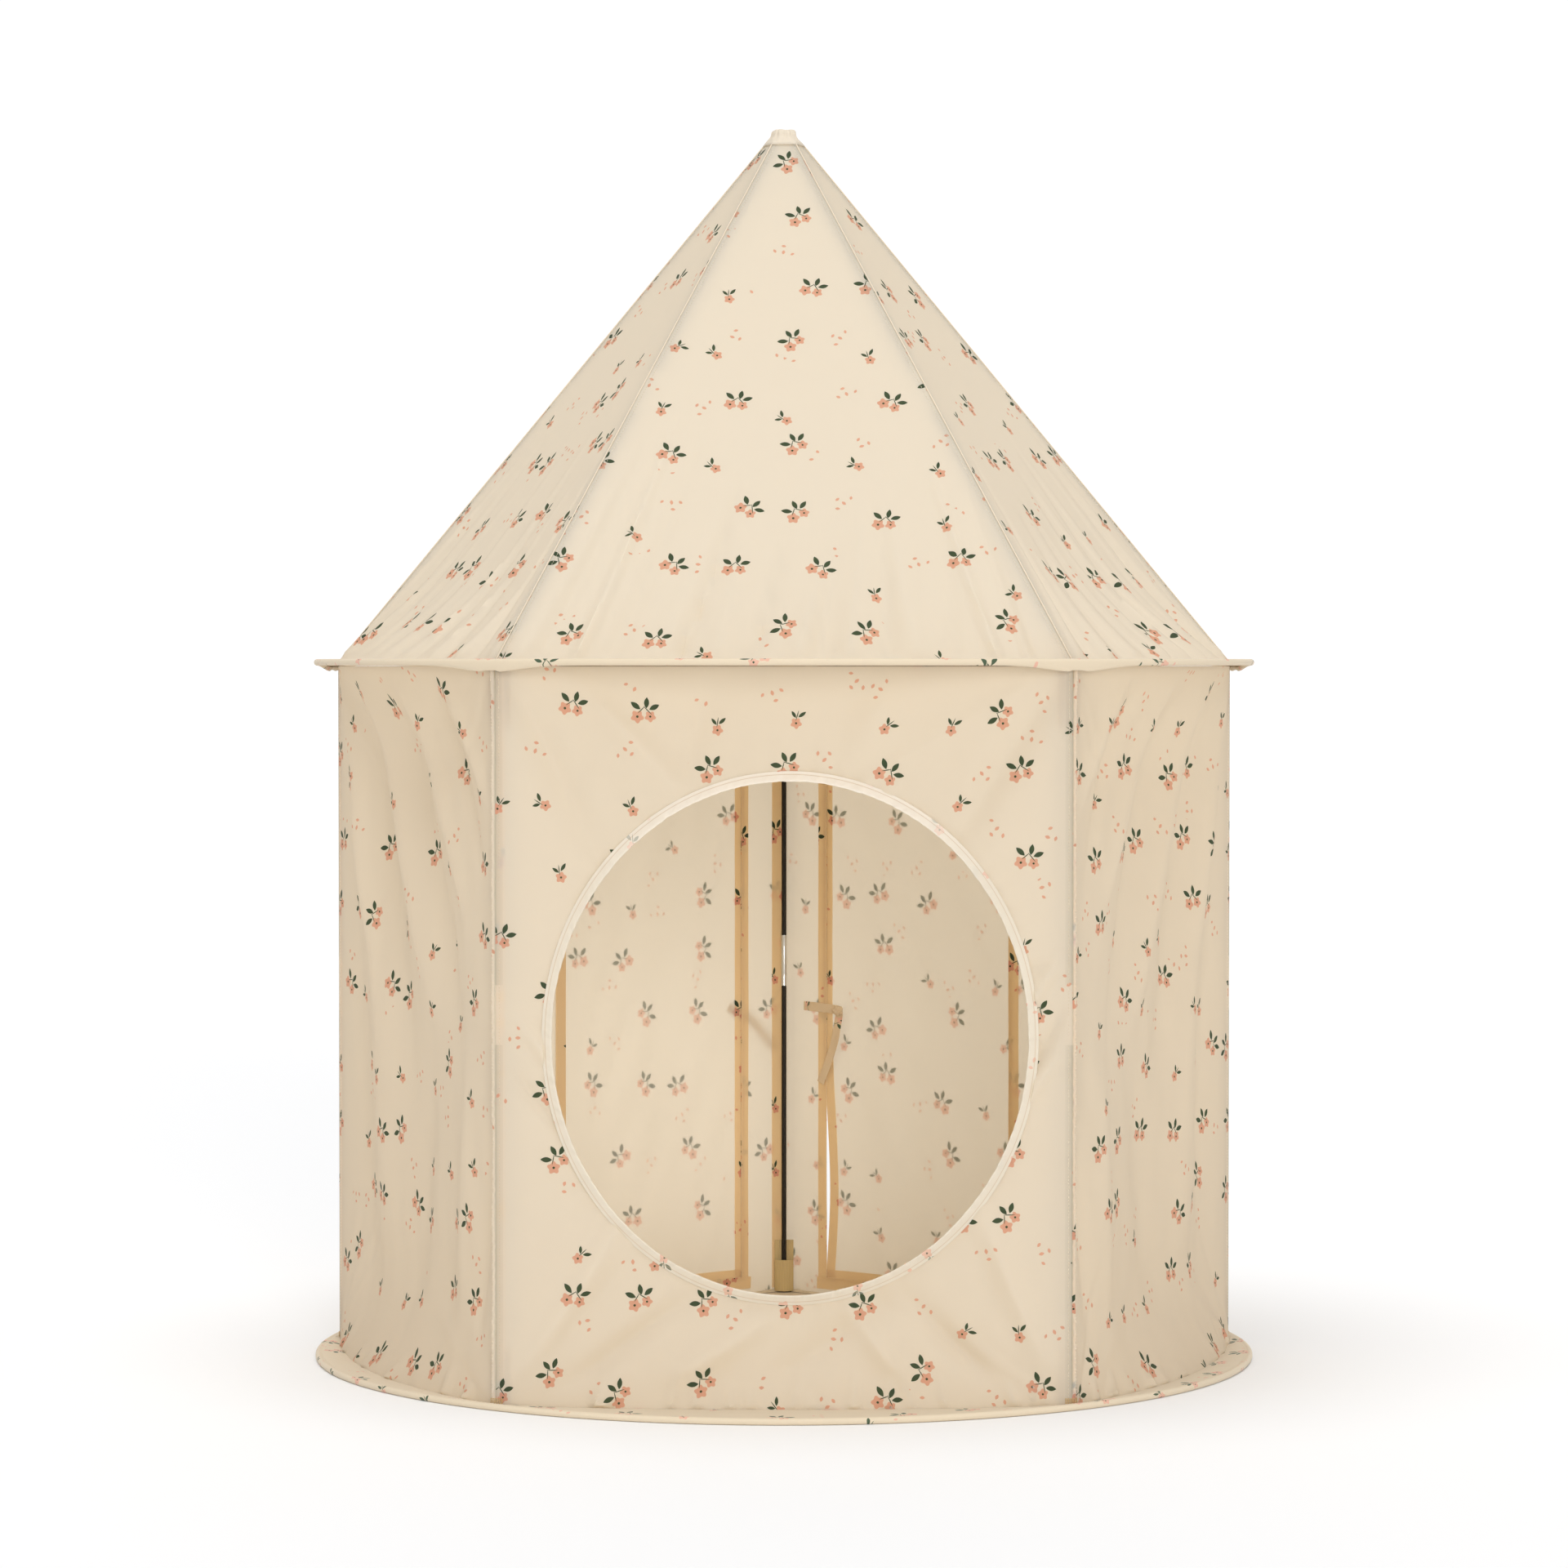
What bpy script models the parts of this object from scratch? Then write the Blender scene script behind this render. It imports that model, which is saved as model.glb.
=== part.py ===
"""A five-cornered pop-up play tent: two sprung hoops, cloth walls and roof, and jointed poles.

Frame: metres, +Z up, the floor at z = 0, the tent's axis at x = y = 0. The round opening faces -Y and
one corner, the rear one, points to +Y. Angles are measured from +Y towards +X, seen from above.
"""
import math

import bmesh
import bpy
from mathutils import Matrix, Vector

# Hoops and their cloth casings
HOOP_OUTER_R = 0.500
CASING_R = 0.0035
CASING_CLOTH = 0.0006
WIRE_R = 0.0018
EAVE_Z = 0.7355
FLANGE_T = 0.0010
FLANGE_LIP = 0.007
LIP_TURN = math.radians(35)
JOINER_LENGTH = 0.016
JOINER_WALL = 0.0003

# Cloth panels and their five corners
CLOTH = 0.0010
FLOOR_T = 0.0008
CORNER_INSET = 0.0095
SIDE_CORNER = 81.0
FRONT_CORNER = 144.4
FLARE_HEIGHT = 0.12
FRONT_FLARE = 0.2
SIDE_FLARE = 0.6
REAR_WALL_FLARE = 0.0
REAR_ROOF_FLARE = 0.45

# Roof
ROOF_TOP_Z = 1.290
PEAK_RISE = 0.0245
CAP_SHOULDER_RISE = 0.010
CAP_RISE = 0.0155
CAP_SHOULDER_R = 0.0105
CAP_CROWN_R = 0.005
ROOF_ROD_DEPTH = 0.0068
ROOF_ROD_FOOT_RISE = 0.007
ROOF_ROD_TOP_DROP = 0.004

# Round opening and its bound rim
OPENING_X = 0.006
OPENING_Z = 0.368
OPENING_WIDTH = 0.489
OPENING_HEIGHT = 0.525
RIM_WIDTH = 0.013
RIM_T = 0.0022

# Rear doorways, measured along each rear wall from the rear corner
DOOR_NEAR = 0.066
DOOR_FAR = 0.325
DOOR_SILL_Z = 0.022
DOOR_HEAD_Z = 0.665
FLAP_HINGE = 0.340
FLAP_LEFT_EDGE = 0.062
FLAP_RIGHT_EDGE = 0.060
FLAP_RIGHT_KICK = 0.010
FLAP_FOOT_Z = 0.019
FLAP_TOP_Z = 0.690

# Ties of printed tape
TIE_WIDTH = 0.0105
TIE_T = 0.0010
TIE_KNOT_R = 0.006
LEFT_TIE = ((0.085, 0.339), (0.010, 0.283))
RIGHT_TIE = ((0.088, 0.335), (0.058, 0.246))

# Wall poles: two rods each, a ferrule, and a webbing pocket at either end
POLE_INSET = 0.016
ROD_R = 0.0028
FERRULE_R = 0.0034
FERRULE_BORE = 0.0031
FERRULE_Z = 0.361
FERRULE_LENGTH = 0.059
POCKET_WIDTH = 0.022
POCKET_DEPTH = 0.0094
POCKET_LENGTH = 0.0365
POCKET_BASE = 0.0012
STRAP_T = 0.0015
STRAP_LENGTH = 0.0595
ROOF_POCKET_WIDTH = 0.011
ROOF_POCKET_DEPTH = 0.0088
ROOF_POCKET_LENGTH = 0.030

# Clearances
GAP = 0.0003
BORE_GAP = 0.0003
STANDING_GAP = 0.0004

# Counts that set how finely round shapes are cut
ROD_SIDES = 8
TUBE_SIDES = 12
PROFILE_STEPS = 6
OPENING_SIDES = 48
CAP_SIDES = 15
SPAN_STEPS = {"rear": 11, "side": 8, "front": 10}
# The widest step between the casing's sections, in degrees
SECTION_STEP = 8.0
# How strongly the rows of the walls and the roof crowd towards their flared ends
WALL_CROWDING = 0.06
ROOF_CROWDING = 1.3
# How far a cutter reaches past what it cuts
CUT_MARGIN = 0.03

HOOP_R = HOOP_OUTER_R - CASING_R
CORNER_R = HOOP_OUTER_R - CORNER_INSET
POLE_R = CORNER_R - POLE_INSET
BASE_Z = CASING_R
FLANGE_BASE_Z = FLOOR_T + GAP
FLANGE_EAVE_Z = EAVE_Z - FLANGE_T / 2
ROOF_PEAK_Z = ROOF_TOP_Z + PEAK_RISE
CAP_SHOULDER_Z = ROOF_TOP_Z + CAP_SHOULDER_RISE
CAP_TOP_Z = ROOF_TOP_Z + CAP_RISE
ROOF_ROD_FOOT_Z = EAVE_Z + ROOF_ROD_FOOT_RISE
ROOF_ROD_TOP_Z = ROOF_TOP_Z - ROOF_ROD_TOP_DROP
# A flared sheet's inner edge dips past its outer one, by up to these shares of its thickness
WALL_DIP = 0.75 * CLOTH
ROOF_DIP = CLOTH
WALL_FOOT_Z = FLANGE_BASE_Z + FLANGE_T + GAP + WALL_DIP
WALL_TOP_Z = FLANGE_EAVE_Z - GAP - WALL_DIP
ROOF_FOOT_Z = FLANGE_EAVE_Z + FLANGE_T + GAP + ROOF_DIP
ROOF_SLOPE = CORNER_R / (ROOF_PEAK_Z - ROOF_FOOT_Z)
ROOF_LEAN = math.atan(ROOF_SLOPE)
PIVOT_R = POLE_R - POCKET_DEPTH / 2
PIVOT_FOOT_Z = FLANGE_BASE_Z + FLANGE_T + STANDING_GAP
PIVOT_TOP_Z = FLANGE_EAVE_Z - STANDING_GAP
PIVOT_ELBOW_Z = (PIVOT_FOOT_Z + PIVOT_TOP_Z) / 2
ELBOW_R = POLE_R + FERRULE_R

CORNERS = {"rear": 0.0, "right": SIDE_CORNER, "front_right": FRONT_CORNER,
           "front_left": 360.0 - FRONT_CORNER, "left": 360.0 - SIDE_CORNER}
# Each span: name, its two corners, its wall's flare, its roof panel's flare, steps of its casing
SPANS = (
    ("rear_right", 0.0, SIDE_CORNER, REAR_WALL_FLARE, REAR_ROOF_FLARE, SPAN_STEPS["rear"]),
    ("right", SIDE_CORNER, FRONT_CORNER, SIDE_FLARE, SIDE_FLARE, SPAN_STEPS["side"]),
    ("front", FRONT_CORNER, 360.0 - FRONT_CORNER, FRONT_FLARE, FRONT_FLARE, SPAN_STEPS["front"]),
    ("left", 360.0 - FRONT_CORNER, 360.0 - SIDE_CORNER, SIDE_FLARE, SIDE_FLARE, SPAN_STEPS["side"]),
    ("rear_left", 360.0 - SIDE_CORNER, 360.0, REAR_WALL_FLARE, REAR_ROOF_FLARE, SPAN_STEPS["rear"]),
)

# Finishes: colour, roughness, metallic
PRINTED_CLOTH = ((0.80, 0.70, 0.54), 0.80, 0.0)
FLOOR_CLOTH = ((0.66, 0.53, 0.37), 0.85, 0.0)
RIM_CLOTH = ((0.88, 0.77, 0.60), 0.75, 0.0)
WEBBING = ((0.60, 0.45, 0.21), 0.70, 0.0)
BLACK_ROD = ((0.012, 0.009, 0.006), 0.35, 0.0)
STEEL = ((0.55, 0.55, 0.55), 0.30, 1.0)


def new_collection(name):
    collection = bpy.data.collections.new(name)
    bpy.context.scene.collection.children.link(collection)
    return collection


def finish(obj, look):
    """Give an object its own Principled material."""
    colour, roughness, metallic = look
    material = bpy.data.materials.new(obj.name + "_finish")
    material.use_nodes = True
    shader = material.node_tree.nodes["Principled BSDF"]
    shader.inputs["Base Color"].default_value = (*colour, 1.0)
    shader.inputs["Roughness"].default_value = roughness
    shader.inputs["Metallic"].default_value = metallic
    if not obj.data.materials:
        obj.data.materials.append(None)
    obj.material_slots[0].link = "OBJECT"
    obj.material_slots[0].material = material


def add_object(name, data, look, parent=None):
    obj = bpy.data.objects.new(name, data)
    parts.objects.link(obj)
    obj.parent = parent
    finish(obj, look)
    return obj


def add_cutter(name, mesh, location=(0.0, 0.0, 0.0), turn_z=0.0):
    obj = bpy.data.objects.new(name, mesh)
    cutters.objects.link(obj)
    obj.location = location
    obj.rotation_euler = (0.0, 0.0, turn_z)
    obj.hide_render = True
    obj.display_type = "WIRE"
    return obj


def add_pivot(name, parent, location, turn_z=0.0):
    """An empty on a joint's axis, which carries the pieces that turn there."""
    pivot = bpy.data.objects.new(name, None)
    parts.objects.link(pivot)
    pivot.parent = parent
    pivot.location = location
    pivot.rotation_euler = (0.0, 0.0, turn_z)
    pivot.empty_display_size = 0.02
    return pivot


def mesh_from(name, bm):
    mesh = bpy.data.meshes.new(name)
    bm.to_mesh(mesh)
    bm.free()
    return mesh


def polar(angle, radius, z):
    turn = math.radians(angle)
    return Vector((radius * math.sin(turn), radius * math.cos(turn), z))


def cylinder_mesh(name, radius, low, high, sides):
    bm = bmesh.new()
    middle = Matrix.Translation((0.0, 0.0, (low + high) / 2))
    bmesh.ops.create_cone(bm, cap_ends=True, segments=sides, radius1=radius, radius2=radius,
                          depth=high - low, matrix=middle)
    return mesh_from(name, bm)


def box_mesh(name, low, high):
    bm = bmesh.new()
    size = [b - a for a, b in zip(low, high)]
    centre = [(a + b) / 2 for a, b in zip(low, high)]
    place = Matrix.Translation(centre) @ Matrix.Diagonal((*size, 1.0))
    bmesh.ops.create_cube(bm, size=1.0, matrix=place)
    return mesh_from(name, bm)


def oval_mesh(name, half_x, half_y, low, high, sides, centre_y=0.0):
    """An upright cylinder of oval section."""
    bm = bmesh.new()
    middle = Matrix.Translation((0.0, centre_y, (low + high) / 2))
    place = middle @ Matrix.Diagonal((half_x, half_y, 1.0, 1.0))
    bmesh.ops.create_cone(bm, cap_ends=True, segments=sides, radius1=1.0, radius2=1.0,
                          depth=high - low, matrix=place)
    return mesh_from(name, bm)


def tube_object(name, bore, outer, low, high, look, parent):
    """A turned tube: its wall's section, screwed round the upright axis."""
    mesh = bpy.data.meshes.new(name)
    section = [(outer, 0.0, high), (outer, 0.0, low), (bore, 0.0, low), (bore, 0.0, high)]
    mesh.from_pydata(section, [(0, 1), (1, 2), (2, 3), (3, 0)], [])
    obj = add_object(name, mesh, look, parent)
    screw = obj.modifiers.new("Turn", "SCREW")
    screw.steps = TUBE_SIDES
    screw.render_steps = TUBE_SIDES
    screw.use_merge_vertices = True
    screw.merge_threshold = 0.00001
    return obj


def evaluated_mesh(obj):
    """A plain copy of an object's finished mesh, in its own frame."""
    bpy.context.view_layer.update()
    depsgraph = bpy.context.evaluated_depsgraph_get()
    return bpy.data.meshes.new_from_object(obj.evaluated_get(depsgraph), depsgraph=depsgraph)


def boolean(obj, operation, cutter):
    modifier = obj.modifiers.new(operation.title(), "BOOLEAN")
    modifier.operation = operation
    modifier.object = cutter


def sheet_object(name, columns, rows, point, look, parent=None):
    """A cloth sheet: a grid laid on point(u, w), with the cloth's thickness on its inner side."""
    bm = bmesh.new()
    bmesh.ops.create_grid(bm, x_segments=columns, y_segments=rows, size=1.0)
    for vert in bm.verts:
        vert.co = point((vert.co.x + 1) / 2, (vert.co.y + 1) / 2)
    bmesh.ops.reverse_faces(bm, faces=bm.faces)
    obj = add_object(name, mesh_from(name, bm), look, parent)
    solidify = obj.modifiers.new("Cloth", "SOLIDIFY")
    solidify.thickness = CLOTH
    solidify.offset = -1.0
    solidify.use_even_offset = True
    return obj


def span_radius(angle, start, end, share, corner_r=CORNER_R):
    """The panel's outline in plan: a straight chord, pushed out by a share towards the hoop's arc."""
    half = math.radians((end - start) / 2)
    off = math.radians(angle - (start + end) / 2)
    chord = corner_r * math.cos(half) / math.cos(off)
    return chord + share * (corner_r - chord)


def chord_angle(u, start, end):
    """The angle of the point that lies a share u along the span's chord."""
    half = math.radians((end - start) / 2)
    return (start + end) / 2 + math.degrees(math.atan((2 * u - 1) * math.tan(half)))


def corner_trim(start, end):
    """How far a panel stops short of its corners, as a share of its length."""
    length = 2 * CORNER_R * math.sin(math.radians((end - start) / 2))
    return (CLOTH + GAP) / length


def section_angles():
    angles = []
    for _, start, end, _, _, steps in SPANS:
        angles += [start + (end - start) * step / steps for step in range(steps)]
    return angles


def outline_radius(angle):
    for _, start, end, share, _, _ in SPANS:
        if start <= angle < end:
            return span_radius(angle, start, end, share)
    return CORNER_R


def hoop_object(name, z, parent):
    """The sprung wire hoop, a closed curve with its points over the casing's own sections."""
    curve = bpy.data.curves.new(name, "CURVE")
    curve.dimensions = "3D"
    curve.bevel_depth = WIRE_R
    curve.bevel_resolution = 1
    angles = section_angles()
    spline = curve.splines.new("POLY")
    spline.points.add(len(angles) - 1)
    for point, angle in zip(spline.points, angles):
        point.co = (*polar(angle, HOOP_R, z), 1.0)
    spline.use_cyclic_u = True
    return add_object(name, curve, STEEL, parent)


def joiner_object(name, z, parent):
    """The crimped tube over the hoop's two ends, on a straight stretch beside the rear corner."""
    angles = section_angles()
    first, second = polar(angles[0], HOOP_R, z), polar(angles[1], HOOP_R, z)
    bore = WIRE_R + BORE_GAP
    obj = tube_object(name, bore, bore + JOINER_WALL, -JOINER_LENGTH / 2, JOINER_LENGTH / 2, STEEL, parent)
    obj.location = (first + second) / 2
    obj.rotation_euler = (second - first).to_track_quat("Z", "Y").to_euler()
    return obj


def casing_section(angle, hoop_z, flange_z, fold):
    """A casing's section: a flange from the walls' seam, which wraps the hoop and ends short of itself.

    fold is 1 where the flange runs over the top of the hoop first, and -1 where it runs under it.
    """
    inner_r = outline_radius(angle) - FLANGE_LIP
    hollow = CASING_R - CASING_CLOTH
    near, far = sorted((fold * (flange_z - hoop_z), fold * (flange_z + FLANGE_T - hoop_z)))
    start = math.pi - math.asin(far / CASING_R)
    end = math.pi - math.asin(near / hollow)
    lip = -math.pi + LIP_TURN
    points = [(inner_r, near), (inner_r, far)]
    for step in range(PROFILE_STEPS + 1):
        turn = start + (lip - start) * step / PROFILE_STEPS
        points.append((HOOP_R + CASING_R * math.cos(turn), CASING_R * math.sin(turn)))
    for step in range(PROFILE_STEPS + 1):
        turn = lip + (end - lip) * step / PROFILE_STEPS
        points.append((HOOP_R + hollow * math.cos(turn), hollow * math.sin(turn)))
    return [polar(angle, radius, hoop_z + fold * rise) for radius, rise in points]


def casing_object(name, hoop_z, flange_z, fold, parent):
    """Loft the casing's sections, which are unlike because the walls' outline isn't round."""
    bm = bmesh.new()
    rings = [[bm.verts.new(point) for point in casing_section(angle, hoop_z, flange_z, fold)]
             for angle in section_angles()]
    count = len(rings[0])
    for ring, following in zip(rings, rings[1:] + rings[:1]):
        for index in range(count):
            after = (index + 1) % count
            bm.faces.new((ring[index], ring[after], following[after], following[index]))
    bmesh.ops.recalc_face_normals(bm, faces=bm.faces)
    return add_object(name, mesh_from(name, bm), PRINTED_CLOTH, parent)


def wall_flare(z):
    """The share of the flare left at a height: all of it at the foot and the eave, none between."""
    foot = max(0.0, 1 - (z - WALL_FOOT_Z) / FLARE_HEIGHT)
    eave = max(0.0, 1 - (WALL_TOP_Z - z) / FLARE_HEIGHT)
    return max(foot, eave) ** 2


def wall_height(w):
    """Rows crowd towards the foot and the eave, where the wall flares."""
    eased = w - WALL_CROWDING * math.sin(4 * math.pi * w)
    return WALL_FOOT_Z + (WALL_TOP_Z - WALL_FOOT_Z) * eased


def wall_object(name, start, end, share, columns, rows):
    trim = corner_trim(start, end)

    def point(u, w):
        z = wall_height(w)
        angle = chord_angle(trim + (1 - 2 * trim) * u, start, end)
        return polar(angle, span_radius(angle, start, end, share * wall_flare(z)), z)

    return sheet_object(name, columns, rows, point, PRINTED_CLOTH)


def roof_panel(name, start, end, share, columns, rows, parent):
    trim = corner_trim(start, end)
    rise = ROOF_TOP_Z - ROOF_FOOT_Z

    def point(u, w):
        z = ROOF_FOOT_Z + rise * w ** ROOF_CROWDING
        ridge = ROOF_SLOPE * (ROOF_PEAK_Z - z)
        flare = max(0.0, 1 - (z - ROOF_FOOT_Z) / FLARE_HEIGHT) ** 2
        edge = trim * CORNER_R / ridge
        angle = chord_angle(edge + (1 - 2 * edge) * u, start, end)
        return polar(angle, span_radius(angle, start, end, share * flare, ridge), z)

    return sheet_object(name, columns, rows, point, PRINTED_CLOTH, parent)


def chord_distance(start, end):
    return CORNER_R * math.cos(math.radians((end - start) / 2))


def opening_outline(name, half_width, half_height, depth):
    mesh = oval_mesh(name, half_width, half_height, -depth / 2, depth / 2, OPENING_SIDES)
    mesh.transform(Matrix.Rotation(math.pi / 2, 4, "X"))
    return mesh


def front_wall_and_rim():
    """The front wall, its oval opening, and the rim that is sewn into the opening."""
    _, start, end, share, _, _ = SPANS[2]
    face_y = -chord_distance(start, end)
    middle_y = face_y + CLOTH / 2
    wall = wall_object("front_wall", start, end, share, 10, 8)
    half_width, half_height = OPENING_WIDTH / 2, OPENING_HEIGHT / 2
    cut = opening_outline("opening_cut", half_width + GAP, half_height + GAP, 2 * CUT_MARGIN)
    boolean(wall, "DIFFERENCE", add_cutter("opening_cut", cut, (OPENING_X, face_y, OPENING_Z)))
    ring = opening_outline("opening_rim", half_width, half_height, RIM_T)
    rim = add_object("opening_rim", ring, RIM_CLOTH)
    rim.location = (OPENING_X, middle_y, OPENING_Z)
    hole = opening_outline("rim_cut", half_width - RIM_WIDTH, half_height - RIM_WIDTH, 2 * CUT_MARGIN)
    boolean(rim, "DIFFERENCE", add_cutter("rim_cut", hole, rim.location))


def rear_place(side, along, out=0.0, z=0.0):
    """A point on a rear wall: so far along it from the rear corner, and so far out from its outer face."""
    half = math.radians(SIDE_CORNER / 2)
    corner = Vector((0.0, CORNER_R, z))
    run = Vector((side * math.cos(half), -math.sin(half), 0.0))
    normal = Vector((side * math.sin(half), math.cos(half), 0.0))
    return corner + run * along + normal * out


def rear_turn(side):
    return math.radians(-side * SIDE_CORNER / 2)


def rear_walls():
    """The two rear walls, each with a doorway between its corner strip and its far side."""
    for side, index in ((1, 0), (-1, 4)):
        name, start, end, share, _, _ = SPANS[index]
        wall = wall_object(name + "_wall", start, end, share, 9, 8)
        half_width = (DOOR_FAR - DOOR_NEAR) / 2
        low, high = (-half_width, -CUT_MARGIN, DOOR_SILL_Z), (half_width, CUT_MARGIN, DOOR_HEAD_Z)
        cut = box_mesh(name + "_door_cut", low, high)
        middle = rear_place(side, (DOOR_NEAR + DOOR_FAR) / 2)
        boolean(wall, "DIFFERENCE", add_cutter(name + "_door_cut", cut, middle, rear_turn(side)))


def door_flaps():
    """The two cloth doors, hung at their far edge, just outside their rear wall."""
    pivots = {}
    doors = ((-1, "left", FLAP_LEFT_EDGE, 0.0), (1, "right", FLAP_RIGHT_EDGE, FLAP_RIGHT_KICK))
    for side, name, edge, kick in doors:
        hinge = rear_place(side, FLAP_HINGE, GAP + CLOTH)
        pivot = add_pivot(name + "_door_hinge", None, hinge, rear_turn(side))
        pivots[name] = pivot

        def point(u, w):
            across = u if side < 0 else 1 - u
            width = FLAP_HINGE - edge - kick * (1 - w) ** 3
            return Vector((-side * width * across, 0.0, FLAP_FOOT_Z + (FLAP_TOP_Z - FLAP_FOOT_Z) * w))

        sheet_object(name + "_door_flap", 3, 6, point, PRINTED_CLOTH, pivot)
    return pivots


def tape_mesh(name, side, run, origin_along, y):
    """A flat tape between two points of a rear wall's face, each given as (along, height)."""
    (a0, z0), (a1, z1) = run
    start = Vector((side * (a0 - origin_along), y, z0))
    end = Vector((side * (a1 - origin_along), y, z1))
    length = (end - start).length
    mesh = box_mesh(name, (-length / 2, -TIE_T / 2, -TIE_WIDTH / 2), (length / 2, TIE_T / 2, TIE_WIDTH / 2))
    slope = math.atan2(end.z - start.z, end.x - start.x)
    mesh.transform(Matrix.Translation((start + end) / 2) @ Matrix.Rotation(-slope, 4, "Y"))
    return mesh


def ties(pivots):
    """The left tie hangs outside from its flap; the right one is knotted inside on the corner strip."""
    left = tape_mesh("left_door_tie", -1, LEFT_TIE, FLAP_HINGE, GAP + TIE_T / 2)
    add_object("left_door_tie", left, PRINTED_CLOTH, pivots["left"])

    bm = bmesh.new()
    (along, height), _ = RIGHT_TIE
    knot_place = Matrix.Translation((along, -TIE_KNOT_R, height))
    bmesh.ops.create_uvsphere(bm, u_segments=8, v_segments=6, radius=TIE_KNOT_R, matrix=knot_place)
    tie = add_object("right_door_tie", mesh_from("right_door_tie", bm), PRINTED_CLOTH)
    tie.location = rear_place(1, 0.0)
    tie.rotation_euler = (0.0, 0.0, rear_turn(1))
    tail = tape_mesh("right_tie_tail", 1, RIGHT_TIE, 0.0, -(CLOTH + GAP + TIE_T / 2))
    boolean(tie, "UNION", add_cutter("right_tie_tail", tail, tie.location, rear_turn(1)))


def pocket_mesh(name, width, depth, length, strap_length):
    """A webbing pocket round a pole's end. Its origin is at its closed end, on its inner face."""
    body = oval_mesh(name + "_body", width / 2, depth / 2, 0.0, length, TUBE_SIDES, depth / 2)
    pocket = add_cutter(name + "_form", body)
    bore = cylinder_mesh(name + "_bore", ROD_R + BORE_GAP, POCKET_BASE, length + CUT_MARGIN, ROD_SIDES)
    bore.transform(Matrix.Translation((0.0, depth / 2, 0.0)))
    if strap_length > length:
        near, far = (-width / 2, depth - STRAP_T, 0.0), (width / 2, depth, strap_length)
        strap = box_mesh(name + "_strap", near, far)
        boolean(pocket, "UNION", add_cutter(name + "_strap", strap))
    boolean(pocket, "DIFFERENCE", add_cutter(name + "_bore", bore))
    return evaluated_mesh(pocket)


def wall_poles():
    """Five jointed poles. Each folds at its foot, at its ferrule and at the eave."""
    pocket = pocket_mesh("wall_pocket", POCKET_WIDTH, POCKET_DEPTH, POCKET_LENGTH, STRAP_LENGTH)
    lower_low = PIVOT_FOOT_Z + POCKET_BASE + GAP
    upper_high = PIVOT_TOP_Z - POCKET_BASE - GAP
    lower_rod = cylinder_mesh("lower_rod", ROD_R, lower_low - PIVOT_FOOT_Z,
                              FERRULE_Z - GAP - PIVOT_FOOT_Z, ROD_SIDES)
    upper_rod = cylinder_mesh("upper_rod", ROD_R, FERRULE_Z + GAP - PIVOT_ELBOW_Z,
                              upper_high - PIVOT_ELBOW_Z, ROD_SIDES)
    tops = {}
    for corner, angle in CORNERS.items():
        place = polar(angle, PIVOT_R, PIVOT_FOOT_Z)
        foot = add_pivot(corner + "_pole_foot", None, place, -math.radians(angle))
        rise = (0.0, ELBOW_R - PIVOT_R, PIVOT_ELBOW_Z - PIVOT_FOOT_Z)
        elbow = add_pivot(corner + "_pole_elbow", foot, rise)
        rise = (0.0, PIVOT_R - ELBOW_R, PIVOT_TOP_Z - PIVOT_ELBOW_Z)
        top = add_pivot(corner + "_pole_top", elbow, rise)
        tops[corner] = top
        add_object(corner + "_foot_pocket", pocket, WEBBING, foot)
        rod = add_object(corner + "_lower_rod", lower_rod, BLACK_ROD, foot)
        rod.location = (0.0, POLE_R - PIVOT_R, 0.0)
        rod = add_object(corner + "_upper_rod", upper_rod, BLACK_ROD, elbow)
        rod.location = (0.0, POLE_R - ELBOW_R, 0.0)
        low = FERRULE_Z - PIVOT_ELBOW_Z
        ferrule = tube_object(corner + "_ferrule", FERRULE_BORE, FERRULE_R, low, low + FERRULE_LENGTH,
                              STEEL, elbow)
        ferrule.location = rod.location
        eave_pocket = add_object(corner + "_eave_pocket", pocket, WEBBING, elbow)
        eave_pocket.location = top.location
        eave_pocket.rotation_euler = (0.0, math.pi, 0.0)
    return tops


def roof_rod_place(angle, parent_shift):
    """The frame of a roof rod: its foot's centre, with +Z along the rod to the peak."""
    inset = ROOF_ROD_DEPTH / math.cos(ROOF_LEAN)
    radius = ROOF_SLOPE * (ROOF_PEAK_Z - ROOF_ROD_FOOT_Z) - inset
    place = Matrix.Translation(polar(angle, radius, ROOF_ROD_FOOT_Z) - parent_shift)
    return place @ Matrix.Rotation(-math.radians(angle), 4, "Z") @ Matrix.Rotation(ROOF_LEAN, 4, "X")


def roof_pole_mesh():
    """A roof pole: two rods pushed together in their ferrule, which are one stiff piece in use."""
    length = (ROOF_ROD_TOP_Z - ROOF_ROD_FOOT_Z) / math.cos(ROOF_LEAN)
    low = (length - FERRULE_LENGTH) / 2
    pole = add_cutter("roof_rod_form", cylinder_mesh("roof_rod_form", ROD_R, 0.0, length, ROD_SIDES))
    ferrule = cylinder_mesh("roof_ferrule_form", FERRULE_R, low, low + FERRULE_LENGTH, ROD_SIDES)
    boolean(pole, "UNION", add_cutter("roof_ferrule_form", ferrule))
    return evaluated_mesh(pole)


def roof_poles(parent, shift):
    """Five roof poles, each with its foot in a pocket at a corner of the eave."""
    pole = roof_pole_mesh()
    pocket = pocket_mesh("roof_pocket", ROOF_POCKET_WIDTH, ROOF_POCKET_DEPTH, ROOF_POCKET_LENGTH, 0.0)
    seat = Matrix.Translation((0.0, -ROOF_POCKET_DEPTH / 2, -POCKET_BASE - GAP))
    for corner, angle in CORNERS.items():
        place = roof_rod_place(angle, shift)
        add_object(corner + "_roof_pole", pole, BLACK_ROD, parent).matrix_local = place
        add_object(corner + "_roof_pocket", pocket, WEBBING, parent).matrix_local = place @ seat


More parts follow.
